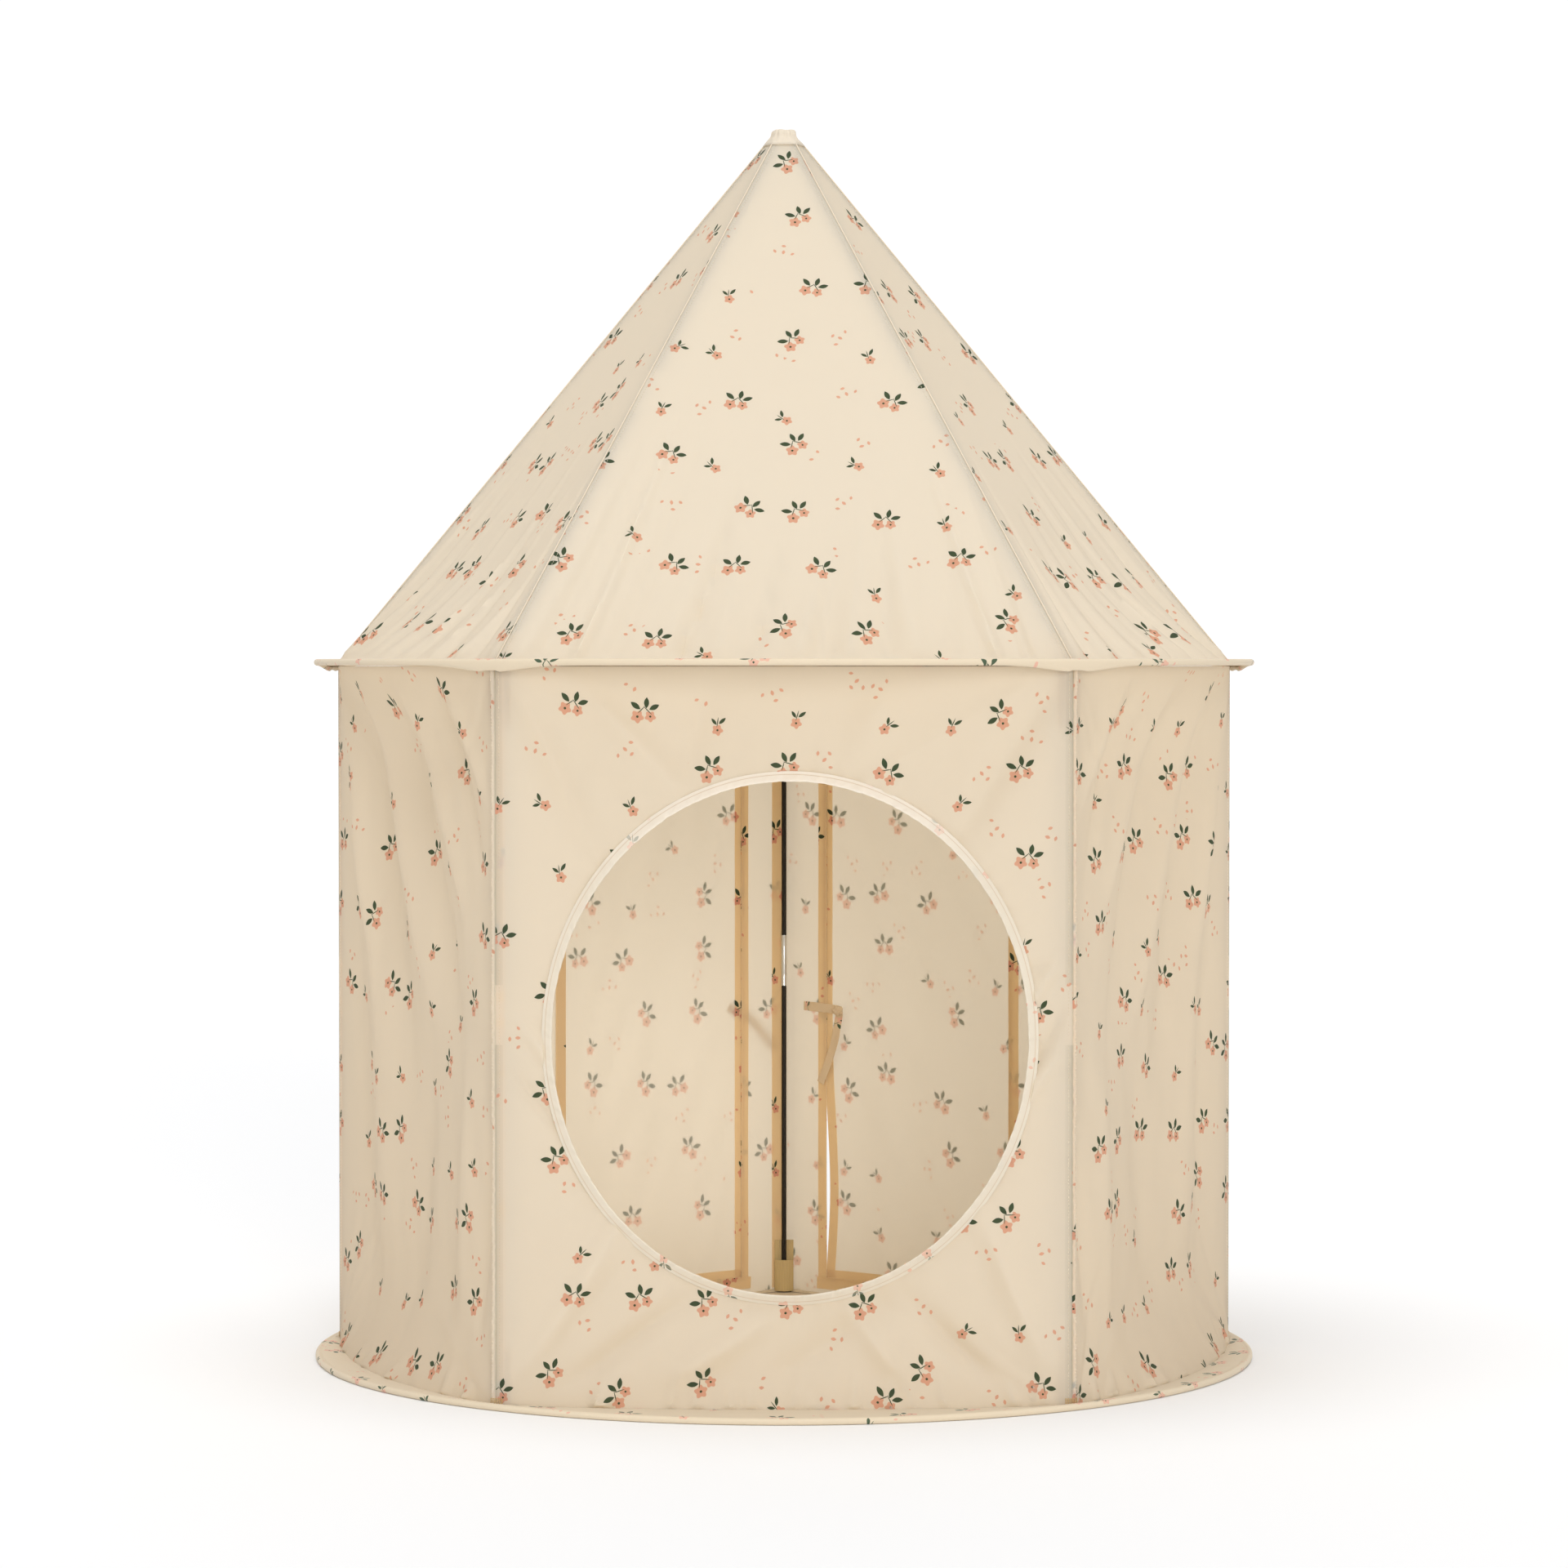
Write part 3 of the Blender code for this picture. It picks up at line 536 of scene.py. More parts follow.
# Long slack folds. Each says where it starts and ends, as a share of the wall's length and a height, and
# then its half width and the height of its ridge
SIDE_DRAPES = [
    ((0.05, 0.76), (0.34, 0.30), 0.0216, 0.0125), ((0.16, 0.78), (0.52, 0.26), 0.0270, -0.0125),
    ((0.26, 0.77), (0.66, 0.34), 0.0203, 0.0131), ((0.40, 0.77), (0.82, 0.32), 0.0243, -0.0120),
    ((0.50, 0.77), (0.86, 0.46), 0.0162, 0.0111), ((0.66, 0.76), (0.94, 0.50), 0.0149, -0.0100),
    ((0.72, 0.77), (0.97, 0.58), 0.0121, 0.0086), ((0.10, 0.52), (0.22, 0.08), 0.0324, -0.0100),
    ((0.30, 0.44), (0.36, 0.05), 0.0378, 0.0106), ((0.62, 0.40), (0.52, 0.04), 0.0351, -0.0090),
    ((0.86, 0.36), (0.80, 0.03), 0.0243, 0.0086), ((0.97, 0.30), (0.90, 0.05), 0.0135, -0.0065),
]
DRAPES = {
    "left": SIDE_DRAPES, "right": mirrored(SIDE_DRAPES),
    "front": [
        ((0.02, 0.74), (0.20, 0.52), 0.016, -0.0083), ((0.10, 0.75), (0.34, 0.60), 0.014, 0.0077),
        ((0.98, 0.74), (0.78, 0.54), 0.016, -0.0083), ((0.40, 0.75), (0.32, 0.62), 0.020, -0.0060),
        ((0.70, 0.75), (0.62, 0.63), 0.020, 0.0065), ((0.02, 0.40), (0.16, 0.30), 0.008, 0.0060),
        ((0.02, 0.34), (0.14, 0.26), 0.007, -0.0060), ((0.98, 0.45), (0.90, 0.38), 0.007, 0.0065),
        ((0.99, 0.40), (0.91, 0.32), 0.006, -0.0065), ((0.99, 0.36), (0.88, 0.28), 0.008, 0.0060),
        ((0.03, 0.02), (0.24, 0.20), 0.014, 0.0095), ((0.10, 0.01), (0.36, 0.12), 0.012, -0.0101),
        ((0.28, 0.02), (0.50, 0.10), 0.014, 0.0101), ((0.44, 0.01), (0.74, 0.13), 0.016, -0.0088),
        ((0.97, 0.02), (0.82, 0.22), 0.014, 0.0095), ((0.88, 0.01), (0.70, 0.12), 0.012, -0.0101),
        ((0.72, 0.02), (0.60, 0.11), 0.012, 0.0088)],
}


def corner_pleats(length, along, z, draw):
    """Pleats that fan from a wall's four corners, each pair from one side's foot and top."""
    total = 0.0
    for side in ("near", "far"):
        for _ in range(5):
            reach, lean = draw.uniform(0.10, 0.26), math.radians(draw.uniform(18, 70))
            start = draw.uniform(0.006, 0.03)
            end = start + reach * math.cos(lean)
            if side == "far":
                start, end = length - start, length - end
            rise = reach * math.sin(lean)
            for level, way, low, high in ((WALL_FOOT_Z + 0.004, 1, -0.0018, 0.0022),
                                          (WALL_TOP_Z - 0.004, -1, -0.0012, 0.0016)):
                width, height = draw.uniform(0.005, 0.010), draw.uniform(low, high)
                total = total + crease(along, z, (start, level), (end, level + way * rise), width, height)
    return total


def seam_ridge(from_seam, z):
    """The folded seam of a side wall stands up beside its corner, and its stitching puckers it."""
    free = np.clip(from_seam / 0.002, 0, 1)
    small = soft_noise(0 * z, z + 0.6 * from_seam, 41, 0.011)
    puckers = 0.0012 * np.exp(-(from_seam / 0.008) ** 2) * small
    return (puckers + 0.0024 * np.exp(-((from_seam - 0.0044) / 0.0027) ** 2)) * free


def foot_gathers(length, along, z, draw):
    """Short tucks where the cloth is sewn to the lower flange."""
    total = 0.0
    for _ in range(int(length / 0.030)):
        foot = draw.uniform(0.02, length - 0.02)
        rise = draw.uniform(0.015, 0.045)
        lean = draw.uniform(-0.014, 0.014)
        start, end = (foot - lean, WALL_FOOT_Z - rise), (foot + lean, WALL_FOOT_Z + rise)
        width, height = draw.uniform(0.0025, 0.006), draw.uniform(0.0022, 0.0050)
        total = total + crease(along, z, start, end, width, height)
    return total


def wall_relief(span, along, z):
    """How far the cloth stands out from the plain surface."""
    length = span_length(span)
    letters = sum(map(ord, span))
    draw = np.random.default_rng(letters)
    from_end = np.minimum(z - WALL_FOOT_Z, WALL_TOP_Z - z)
    edge = np.clip(np.minimum(along, length - along) / 0.05, 0, 1)
    ends, lift = np.clip(from_end / 0.04, 0, 1), np.clip(from_end / 0.003, 0, 1)
    swell = 0.0030 * soft_noise(along, z * 0.35, letters, 0.16)
    slack = 0.0011 * soft_noise(along, z * 0.5, 7 + len(span), 0.05)
    total = (swell + slack) * edge * ends + corner_pleats(length, along, z, draw)
    for start, end, width, height in DRAPES.get(span, ()):
        start, end = (start[0] * length, start[1]), (end[0] * length, end[1])
        total = total + crease(along, z, start, end, width, height) * ends
    if span in ("left", "right"):
        total = total + seam_ridge(length - along if span == "left" else along, z)
    total = total + foot_gathers(length, along, z, draw) * lift
    pucker = np.exp(-((z - WALL_FOOT_Z) / 0.012) ** 2) + 0.8 * np.exp(-((WALL_TOP_Z - z) / 0.012) ** 2)
    total = total + 0.0006 * pucker * lift * soft_noise(along, z * 0.1, 3, 0.014) * edge
    return total - 0.0012


def spread(count, low, high, crowd=0.0):
    """Steps from low to high, closer together towards both ends."""
    t = np.linspace(0, 1, count)
    return low + (high - low) * (t - crowd * np.sin(math.tau * t) / math.tau)


def outward(span):
    left, right = SPANS[span][:2]
    return polar((left + right) / 2, 1.0, 0.0)


def wall_points(span, along, z, out=0.0):
    """Points of a wall's cloth, or so far out from it. The rear walls are small strips and stay calmer."""
    share = 0.25 if span.startswith("rear") else 1.0
    away = out + share * wall_relief(span, along, z)
    return wall_surface(span, along, z) + away[..., None] * outward(span)


def wall_maps(span, along, z):
    cloth = np.stack([along + 0.37 * list(SPANS).index(span), z], axis=-1)
    return cloth, np.stack([along, span_length(span) - along], axis=-1)


# %% Side walls
SEAM_GAP = 0.0008
SIDE_COLUMNS, SIDE_ROWS = 110, 190
walls = []
for span in ("left", "right"):
    along = spread(SIDE_COLUMNS, SEAM_GAP, span_length(span) - SEAM_GAP, 0.8)
    along, z = (g.ravel() for g in np.meshgrid(along, spread(SIDE_ROWS, WALL_FOOT_Z, WALL_TOP_Z, 0.6)))
    cloth, edges = wall_maps(span, along, z)
    wall = sheet_object("sewn_" + span + "_wall", wall_points(span, along, z),
                        grid_quads(SIDE_COLUMNS, SIDE_ROWS), cloth, [side_cloth, inner_cloth], edges)
    walls.append((wall, span + "_wall"))
    print(wall.name, len(wall.data.polygons), "faces")

# %% [markdown]
# The front wall has the oval way in. Its grid is not a checkerboard: rings run from the oval out to the
# wall's edges, so the cut edge is smooth and the puckers can radiate from the binding.

# %% Front wall
OPENING = (0.2916, 0.3675)
HALF_OPENING = (0.2442, 0.2628)
OPENING_R = 0.2533
RINGS, SPOKES = 44, 480
length = span_length("front")
steps = SPOKES // 4
side_a = spread(steps + 1, SEAM_GAP, length - SEAM_GAP)[:-1]
side_z = spread(steps + 1, WALL_FOOT_Z, WALL_TOP_Z)[:-1]
border = np.concatenate([
    np.stack([side_a, np.full(steps, WALL_FOOT_Z)], 1),
    np.stack([np.full(steps, length - SEAM_GAP), side_z], 1),
    np.stack([length - side_a, np.full(steps, WALL_TOP_Z)], 1),
    np.stack([np.full(steps, SEAM_GAP), WALL_FOOT_Z + WALL_TOP_Z - side_z], 1)])
turn = np.arctan2((border[:, 1] - OPENING[1]) / HALF_OPENING[1],
                  (border[:, 0] - OPENING[0]) / HALF_OPENING[0])
oval = np.stack([OPENING[0] + HALF_OPENING[0] * np.cos(turn),
                 OPENING[1] + HALF_OPENING[1] * np.sin(turn)], 1)
step = (np.linspace(0, 1, RINGS) ** 1.25)[:, None, None]
flat = ((1 - step) * oval[None] + step * border[None]).reshape(-1, 2)
along, z = flat[:, 0], flat[:, 1]
from_rim = np.hypot((along - OPENING[0]) / HALF_OPENING[0], (z - OPENING[1]) / HALF_OPENING[1]) - 1
around = np.arctan2(z - OPENING[1], along - OPENING[0])
gather = 0.0022 * np.exp(-from_rim / 0.10) * soft_noise(around, 0 * around, 21, 0.11)
gather += 0.0016 * np.exp(-from_rim / 0.22) * soft_noise(around, 0 * around, 22, 0.31)
points = wall_points("front", along, z) + gather[:, None] * outward("front")
cloth, edges = wall_maps("front", along, z)
front_quads = grid_quads(SPOKES, RINGS, ring=True)[:, ::-1]
front = sheet_object("sewn_front_wall", points, front_quads, cloth, [wall_cloth, inner_cloth], edges)
walls.append((front, "front_wall"))
print(front.name, len(front.data.polygons), "faces")

# %% [markdown]
# Each rear wall has a doorway, so only a strip beside each corner and the cloth above the head are left.
# The grid has a line on each edge of the doorway, and the faces between those lines are left out.

# %% Rear walls with their doorways
DOOR_NEAR, DOOR_SILL, DOOR_HEAD = 0.066, 0.022, 0.665
DOOR_FAR = {"rear_left": 0.325, "rear_right": 0.334}
for span in ("rear_right", "rear_left"):
    length = span_length(span)
    first, last = sorted(length - t if span == "rear_right" else t for t in (DOOR_NEAR, DOOR_FAR[span]))
    a_steps = np.concatenate([np.linspace(SEAM_GAP, first, int(first * 180) + 8)[:-1],
                              np.linspace(first, last, 30)[:-1],
                              np.linspace(last, length - SEAM_GAP, int((length - last) * 180) + 8)])
    z_steps = np.concatenate([np.linspace(WALL_FOOT_Z, DOOR_SILL, 6)[:-1],
                              np.linspace(DOOR_SILL, DOOR_HEAD, 100)[:-1],
                              np.linspace(DOOR_HEAD, WALL_TOP_Z, 14)])
    along, z = (g.ravel() for g in np.meshgrid(a_steps, z_steps))
    quads = grid_quads(len(a_steps), len(z_steps))
    middle_a, middle_z = along[quads].mean(1), z[quads].mean(1)
    hole = (middle_a > first) & (middle_a < last) & (middle_z > DOOR_SILL) & (middle_z < DOOR_HEAD)
    cloth, edges = wall_maps(span, along, z)
    wall = sheet_object("sewn_" + span + "_wall", wall_points(span, along, z), quads[~hole], cloth,
                        [wall_cloth, inner_cloth], edges)
    walls.append((wall, span + "_wall"))
    print(wall.name, len(wall.data.polygons), "faces")

# %% [markdown]
# ## Roof
# A roof panel is flat from ridge to ridge and sags a little in its middle. Pleats start at the eave,
# where the cloth is gathered into the casing, and die out on the way up.

# %% Roof panels
PLEATS = 17
ROOF_COLUMNS, ROOF_ROWS = 110, 120
roof_panels = []


def roof_relief(span, share, z):
    draw = np.random.default_rng(11 + sum(map(ord, span)))
    up = (z - ROOF_FOOT_Z) / (ROOF_TOP_Z - ROOF_FOOT_Z)
    edge = np.clip(np.minimum(share, 1 - share) / 0.10, 0, 1)
    width = 1 - up
    total = 0.0014 * soft_noise(share * 0.6, up * 0.25, sum(map(ord, span)), 0.16) * edge * width
    for index in range(PLEATS):
        where = (index + draw.uniform(0.2, 0.8)) / PLEATS
        reach, wide = draw.uniform(0.16, 0.50), draw.uniform(0.010, 0.022)
        rise = np.clip(1 - up / reach, 0, 1) ** 0.8 * np.clip(up / 0.02, 0, 1)
        drift = where + draw.uniform(0.0, 0.09) * up / reach
        height = (-1) ** index * draw.uniform(0.0034, 0.0080)
        total = total + height * rise * np.exp(-((share - drift) / wide) ** 2)
    sag = 0.004 * np.sin(math.pi * np.clip(up, 0, 1)) * 4 * share * (1 - share)
    return (total - sag) * edge - 0.0006


def roof_points(span, share, z):
    left, right = SPANS[span][:2]
    lean = math.atan2(CORNER_R * math.cos(math.radians(left - right) / 2), PEAK_Z - ROOF_FOOT_Z)
    normal = polar((left + right) / 2, math.cos(lean), math.sin(lean))
    return roof_surface(span, share, z) + roof_relief(span, share, z)[..., None] * normal


for span in SPANS:
    z = ROOF_FOOT_Z + (ROOF_TOP_Z - ROOF_FOOT_Z) * np.linspace(0, 1, ROOF_ROWS) ** 1.15
    share, z = (g.ravel() for g in np.meshgrid(spread(ROOF_COLUMNS, 0.0, 1.0, 0.7), z))
    width = span_length(span) * (PEAK_Z - z) / (PEAK_Z - ROOF_FOOT_Z)
    slant = (z - ROOF_FOOT_Z) * math.hypot(CORNER_R * 0.8, PEAK_Z - ROOF_FOOT_Z) / (PEAK_Z - ROOF_FOOT_Z)
    cloth = np.stack([(share - 0.5) * width + 1.3 * list(SPANS).index(span) + 2.0, slant + ROOF_FOOT_Z], -1)
    edges = np.stack([share * width, (1 - share) * width], -1)
    printed = roof_cloth if span == "front" else roof_side_cloth
    panel = sheet_object("sewn_" + span + "_roof_panel", roof_points(span, share, z),
                         grid_quads(ROOF_COLUMNS, ROOF_ROWS), cloth, [printed, inner_cloth], edges)
    roof_panels.append((panel, span + "_roof_panel", span_length(span)))
    print(panel.name, len(panel.data.polygons), "faces")

# %% [markdown]
# ## Hems
# Where a doorway is cut into a rear wall, the cloth is folded over twice and sewn down, and at every
# corner a narrow seam allowance stays inside. These strips let little light through, so they look like
# darker, warmer bands with a crisp print, and that look is painted shade in their ochre colour. Each is a
# ribbon laid just inside its wall.

# %% Inner strips
HEM_WIDTH, HEM_T, HEM_LIFT = 0.014, 0.0005, 0.0013
NEAR_HEM = {"rear_left": 0.010, "rear_right": 0.012}
STRIP_COLUMNS, STRIP_ROWS = 5, 110


def inner_strip(name, span, along, z, columns, rows):
    """A strip on the inside of a span's wall, between two distances along it and two heights."""
    a, h = (g.ravel() for g in np.meshgrid(np.linspace(along[1], along[0], columns), np.linspace(*z, rows)))
    cloth = np.stack([-a, h], axis=-1)
    return sheet_object(name, wall_points(span, a, h, -HEM_LIFT), grid_quads(columns, rows), cloth,
                        [hem_cloth], thickness=HEM_T)


def from_rear(span, first, last):
    """Distances along a rear wall from the rear corner, as distances from its own left corner."""
    if span == "rear_left":
        return first, last
    return span_length(span) - last, span_length(span) - first


hems = {span: [] for span in SPANS}
for span in ("rear_left", "rear_right"):
    near, far = DOOR_NEAR, DOOR_FAR[span]
    upright, level = (STRIP_COLUMNS, STRIP_ROWS), (60, STRIP_COLUMNS)
    for label, first, last, z, grid in (
            ("near_hem", near - NEAR_HEM[span], near, (DOOR_SILL, DOOR_HEAD), upright),
            ("far_hem", far, far + HEM_WIDTH, (DOOR_SILL, DOOR_HEAD), upright),
            ("head_hem", near - HEM_WIDTH, far + HEM_WIDTH, (DOOR_HEAD, DOOR_HEAD + HEM_WIDTH), level),
            ("sill_hem", near - HEM_WIDTH, far + HEM_WIDTH, (0.008, DOOR_SILL), level)):
        hems[span].append(inner_strip(span + "_" + label, span, from_rear(span, first, last), z, *grid))
for span in SPANS:
    allowance = 0.0195 if span == "rear_left" else 0.0095
    hems[span].append(inner_strip(span + "_seam_allowance", span, (0.0015, allowance), (0.006, 0.731),
                                  STRIP_COLUMNS, STRIP_ROWS))
print("inner strips:", sum(len(h) for h in hems.values()))

# %% [markdown]
# ## Doors
# The two cloth doors hang outside the doorways from their far edge. Their free edge overlaps the strip
# beside the rear corner. The right one bows aside a little near its foot, which leaves a narrow gap.

# %% Door flaps
FLAP_HINGE, FLAP_FOOT, FLAP_TOP = 0.340, 0.019, 0.690
FLAP_OUT, FLAP_SWELL, DOOR_HEM = 0.0013, 0.0035, 0.012


def flap_edge(span, z):
    """How far a door's free edge stays from the rear corner."""
    if span == "rear_left":
        return np.full(np.shape(z), 0.062)
    low = np.clip((FLAP_TOP - z) / (FLAP_TOP - FLAP_FOOT), 0, 1)
    return 0.0605 + 0.0095 * np.exp(-((low - 0.84) / 0.17) ** 2)


def flap_points(span, t, z, out=0.0):
    """Points of a door, at a distance t from the rear corner. It only ever stands away from the wall."""
    free = np.clip((FLAP_HINGE - t) / 0.06, 0, 1) * np.clip((FLAP_TOP - z) / 0.10, 0, 1)
    swell = 0.5 + 0.5 * soft_noise(t * 1.4, z * 0.3, 5 + len(span), 0.14)
    ripple = 0.5 + 0.5 * soft_noise(t + 0.5 * z, z * 0.4, 15 + len(span), 0.06)
    along = t if span == "rear_left" else span_length(span) - t
    inside = np.clip((t - flap_edge(span, z)) / 0.06, 0, 1)
    away = FLAP_OUT + out + free * (FLAP_SWELL * swell + 0.0028 * ripple) * (0.15 + 0.85 * inside)
    return wall_surface(span, along, z) + away[..., None] * outward(span)


def flap_sheet(name, span, width, z, face_in, columns, rows, materials, thickness):
    """A door, or a hem on its inside, from its free edge to its hinge or over a given width."""
    share, h = (g.ravel() for g in np.meshgrid(np.linspace(0, 1, columns), np.linspace(*z, rows)))
    if (span == "rear_right") != face_in:
        share = 1 - share
    start = flap_edge(span, h)
    end = FLAP_HINGE if width is None else start + width
    t = start + (end - start) * share
    points = flap_points(span, t, h, -0.0012 if face_in else 0.0)
    cloth = np.stack([(-t if span == "rear_right" else t) + 5.1, h], axis=-1)
    return sheet_object(name, points, grid_quads(columns, rows), cloth, materials, thickness=thickness)


doors = {}
whole, foot = (FLAP_FOOT, FLAP_TOP), (FLAP_FOOT, FLAP_FOOT + DOOR_HEM)
for span, side in (("rear_left", "left"), ("rear_right", "right")):
    flap = flap_sheet("sewn_" + side + "_door", span, None, whole, False, 60, 120,
                      [door_cloth, inner_cloth], CLOTH_T)
    edge_hem = flap_sheet(side + "_door_edge_hem", span, DOOR_HEM, whole, True, STRIP_COLUMNS, STRIP_ROWS,
                          [hem_cloth], HEM_T)
    foot_hem = flap_sheet(side + "_door_foot_hem", span, None, foot, True, 60, STRIP_COLUMNS,
                          [hem_cloth], HEM_T)
    doors[side] = (flap, [edge_hem, foot_hem])
    print(flap.name, len(flap.data.polygons), "faces")

# %% [markdown]
# ## Bound opening
# A folded strip of cloth is sewn round the oval. Because a straight strip is bent round a curve, it
# puckers between its stitches. The binding is a closed section swept round the oval, and a noise on its
# thickness and width makes the puckers.

# %% Binding of the opening
RIM_WIDTH, RIM_STEPS, RIM_SIDES = 0.0092, 900, 24
around = np.linspace(0, math.tau, RIM_STEPS, endpoint=False)
loop = np.linspace(0, math.tau, RIM_SIDES, endpoint=False)
turn, section = (g.ravel() for g in np.meshgrid(around, loop))
run = np.stack([np.cos(turn), np.sin(turn)], -1)
pucker = soft_noise(turn, 0 * turn, 31, 0.060)
pucker = pucker + 0.7 * soft_noise(turn + 0.02 * np.cos(section), 0 * turn, 33, 0.026)
slow = soft_noise(turn, 0 * turn, 12, 0.42)
outer_edge = 0.0012
inner_edge = -RIM_WIDTH - 0.0006 * slow - 0.0004 * pucker
offset = (outer_edge + inner_edge) / 2 + (outer_edge - inner_edge) / 2 * np.cos(section)
lift = 0.0008 * np.sign(np.sin(section)) * np.abs(np.sin(section)) ** 0.35 + 0.0004
lift = lift + (0.0015 * pucker + 0.0040) * np.clip(-offset / RIM_WIDTH * 1.2, 0, 1)
along = OPENING[0] + (HALF_OPENING[0] + offset) * run[:, 0]
z = OPENING[1] + (HALF_OPENING[1] + offset) * run[:, 1]
points = wall_surface("front", along, z) + lift[:, None] * outward("front")
faces = grid_quads(RIM_STEPS, RIM_SIDES, ring=True, closed=True)
rim_mesh = bpy.data.meshes.new("opening_binding")
rim_mesh.from_pydata(points.tolist(), [], faces.tolist())
maps = np.stack([turn * OPENING_R + 0.9, offset * np.sign(np.sin(section) + 1e-9)], -1)
set_map(rim_mesh, "cloth", maps[faces.ravel()])
rim_mesh.materials.append(rim_cloth)
turn_faces_out(rim_mesh)
shade_smooth(rim_mesh)
binding = placed("opening_binding", rim_mesh)
print("binding is", round(RIM_WIDTH * 1000), "mm wide and", len(faces), "faces")

# %% [markdown]
# ## Hoop casings
# Each hoop is a closed spring wire in a cloth casing, and a flange of the same cloth joins the casing to
# the walls. The casing is one section, carried round the outline of the walls, with small waves where the
# round hoop pulls on the flange. At the eave it sags a little at every corner pocket.

# %% Casings
CASING_R, CASING_CLOTH, CASING_STEPS, ARC_STEPS = 0.0035, 0.0006, 630, 14
FLANGE_REACH, FLANGE_T, FLANGE_RUN = 0.006, 0.001, 0.02


def outline_radius(angle):
    """Radius of the walls' outline at any angle, with their flare."""
    radius = np.zeros_like(angle)
    for left, right, flare, _ in SPANS.values():
        half, off = math.radians(left - right) / 2, np.radians(angle - (left + right) / 2)
        chord = CORNER_R * math.cos(half) / np.cos(off)
        radius = np.where((angle >= right) & (angle < left), chord + flare * (CORNER_R - chord), radius)
    return radius


def eave_bow(angle):
    """The eave's hoop springs up a little away from the rear corner."""
    return 0.0032 * np.clip((np.minimum(angle, 360 - angle) - 25) / 40, 0, 1)


def corner_droop(angle):
    """The casing sags below the hoop where a pole's pocket pulls on it."""
    near = np.min([np.abs(angle - corner) for corner in (81.0, 144.4, 215.6, 279.0)], axis=0)
    return 0.0065 * np.exp(-(near / 5.5) ** 2) * np.clip(near / 1.2, 0.75, 1)


def casing(name, hoop_z, inner_z, join_z, bow, droop):
    """The flange starts at inner_z under or over the walls and meets the hoop's casing at join_z."""
    angle = np.linspace(0, 360, CASING_STEPS, endpoint=False)
    outline = outline_radius(angle)
    inner = outline - FLANGE_REACH
    hollow = CASING_R - CASING_CLOTH
    under, high = inner_z - hoop_z, inner_z + FLANGE_T - hoop_z
    near, far = join_z - hoop_z, join_z + FLANGE_T - hoop_z
    start, lip = math.pi - math.asin(far / CASING_R), -math.pi + math.radians(35)
    end = math.pi - math.asin(near / hollow)
    meet = HOOP_R + CASING_R * math.cos(start)
    wave = soft_noise(angle, 0 * angle, 4, 2.6)
    ruffle = soft_noise(angle, 0 * angle, 6, 1.1)
    rows = [(inner, under + 0 * angle), (inner, high + 0 * angle)]
    travel = [0.0, FLANGE_T]
    shares = (0.15, 0.35, 0.55, 0.75, 0.9)
    for share in shares:
        swell = math.sin(math.pi * share) * (0.0006 + 0.0006 * wave + 0.0004 * ruffle)
        rows.append((inner + (meet - inner) * share, high + (far - high) * share ** 0.8 + swell))
        travel.append(FLANGE_RUN * share)
    for step in range(ARC_STEPS + 1):
        turn = start + (lip - start) * step / ARC_STEPS
        tight = 1 + 0.03 * soft_noise(angle, 0 * angle, 8 + step // 4, 1.9)
        low = min(0.0, math.sin(turn))
        rows.append((HOOP_R + CASING_R * math.cos(turn) * tight, CASING_R * math.sin(turn) + droop * low))
        travel.append(FLANGE_RUN + CASING_R * abs(turn - start))
    for step in range(ARC_STEPS + 1):
        turn = lip + (end - lip) * step / ARC_STEPS
        low = min(0.0, math.sin(turn))
        rows.append((HOOP_R + hollow * math.cos(turn) + 0 * angle, hollow * math.sin(turn) + droop * low))
        travel.append(0.05)
    back = HOOP_R + hollow * math.cos(end)
    for share in shares[::-1]:
        swell = math.sin(math.pi * share) * (0.0006 + 0.0006 * wave + 0.0004 * ruffle)
        rows.append((inner + (back - inner) * share, under + (near - under) * share ** 0.8 + swell))
        travel.append(FLANGE_RUN * share)
    follow = [bow * np.clip((radius - outline) / (meet - outline), 0, 1) for radius, _ in rows]
    points = np.concatenate([polar(angle, row[0], hoop_z + row[1] + up) for row, up in zip(rows, follow)])
    quads = grid_quads(CASING_STEPS, len(rows), ring=True, closed=True)
    mesh = bpy.data.meshes.new(name)
    mesh.from_pydata(points.tolist(), [], quads.tolist())
    inward = np.concatenate([HOOP_R - np.broadcast_to(radius, angle.shape) for radius, _ in rows])
    wrapped = np.maximum(0, np.repeat(travel, CASING_STEPS) - FLANGE_RUN)
    maps = np.stack([np.tile(np.radians(angle) * HOOP_R, len(rows)), inward - wrapped + 3 * hoop_z], -1)
    set_map(mesh, "cloth", maps[quads.ravel()])
    mesh.materials.append(flange_cloth)
    turn_faces_out(mesh)
    shade_smooth(mesh, sharp=60)
    return placed(name, mesh)


EAVE_Z, FLANGE_EAVE_Z, FLANGE_BASE_Z = 0.7355, 0.735, 0.0011
round_the_hoop = np.linspace(0, 360, CASING_STEPS, endpoint=False)
level = np.zeros(CASING_STEPS)
base_casing = casing("sewn_base_casing", CASING_R, FLANGE_BASE_Z, 0.0054, level, level)
eave_casing = casing("sewn_eave_casing", EAVE_Z, FLANGE_EAVE_Z, FLANGE_EAVE_Z, eave_bow(round_the_hoop),
                     corner_droop(round_the_hoop))
print("each casing has", len(base_casing.data.polygons), "faces")

# %% [markdown]
# The frame's own eave hoop is level. This wire follows the casing instead, which springs up at the front,
# so that it stays inside its casing all the way round.

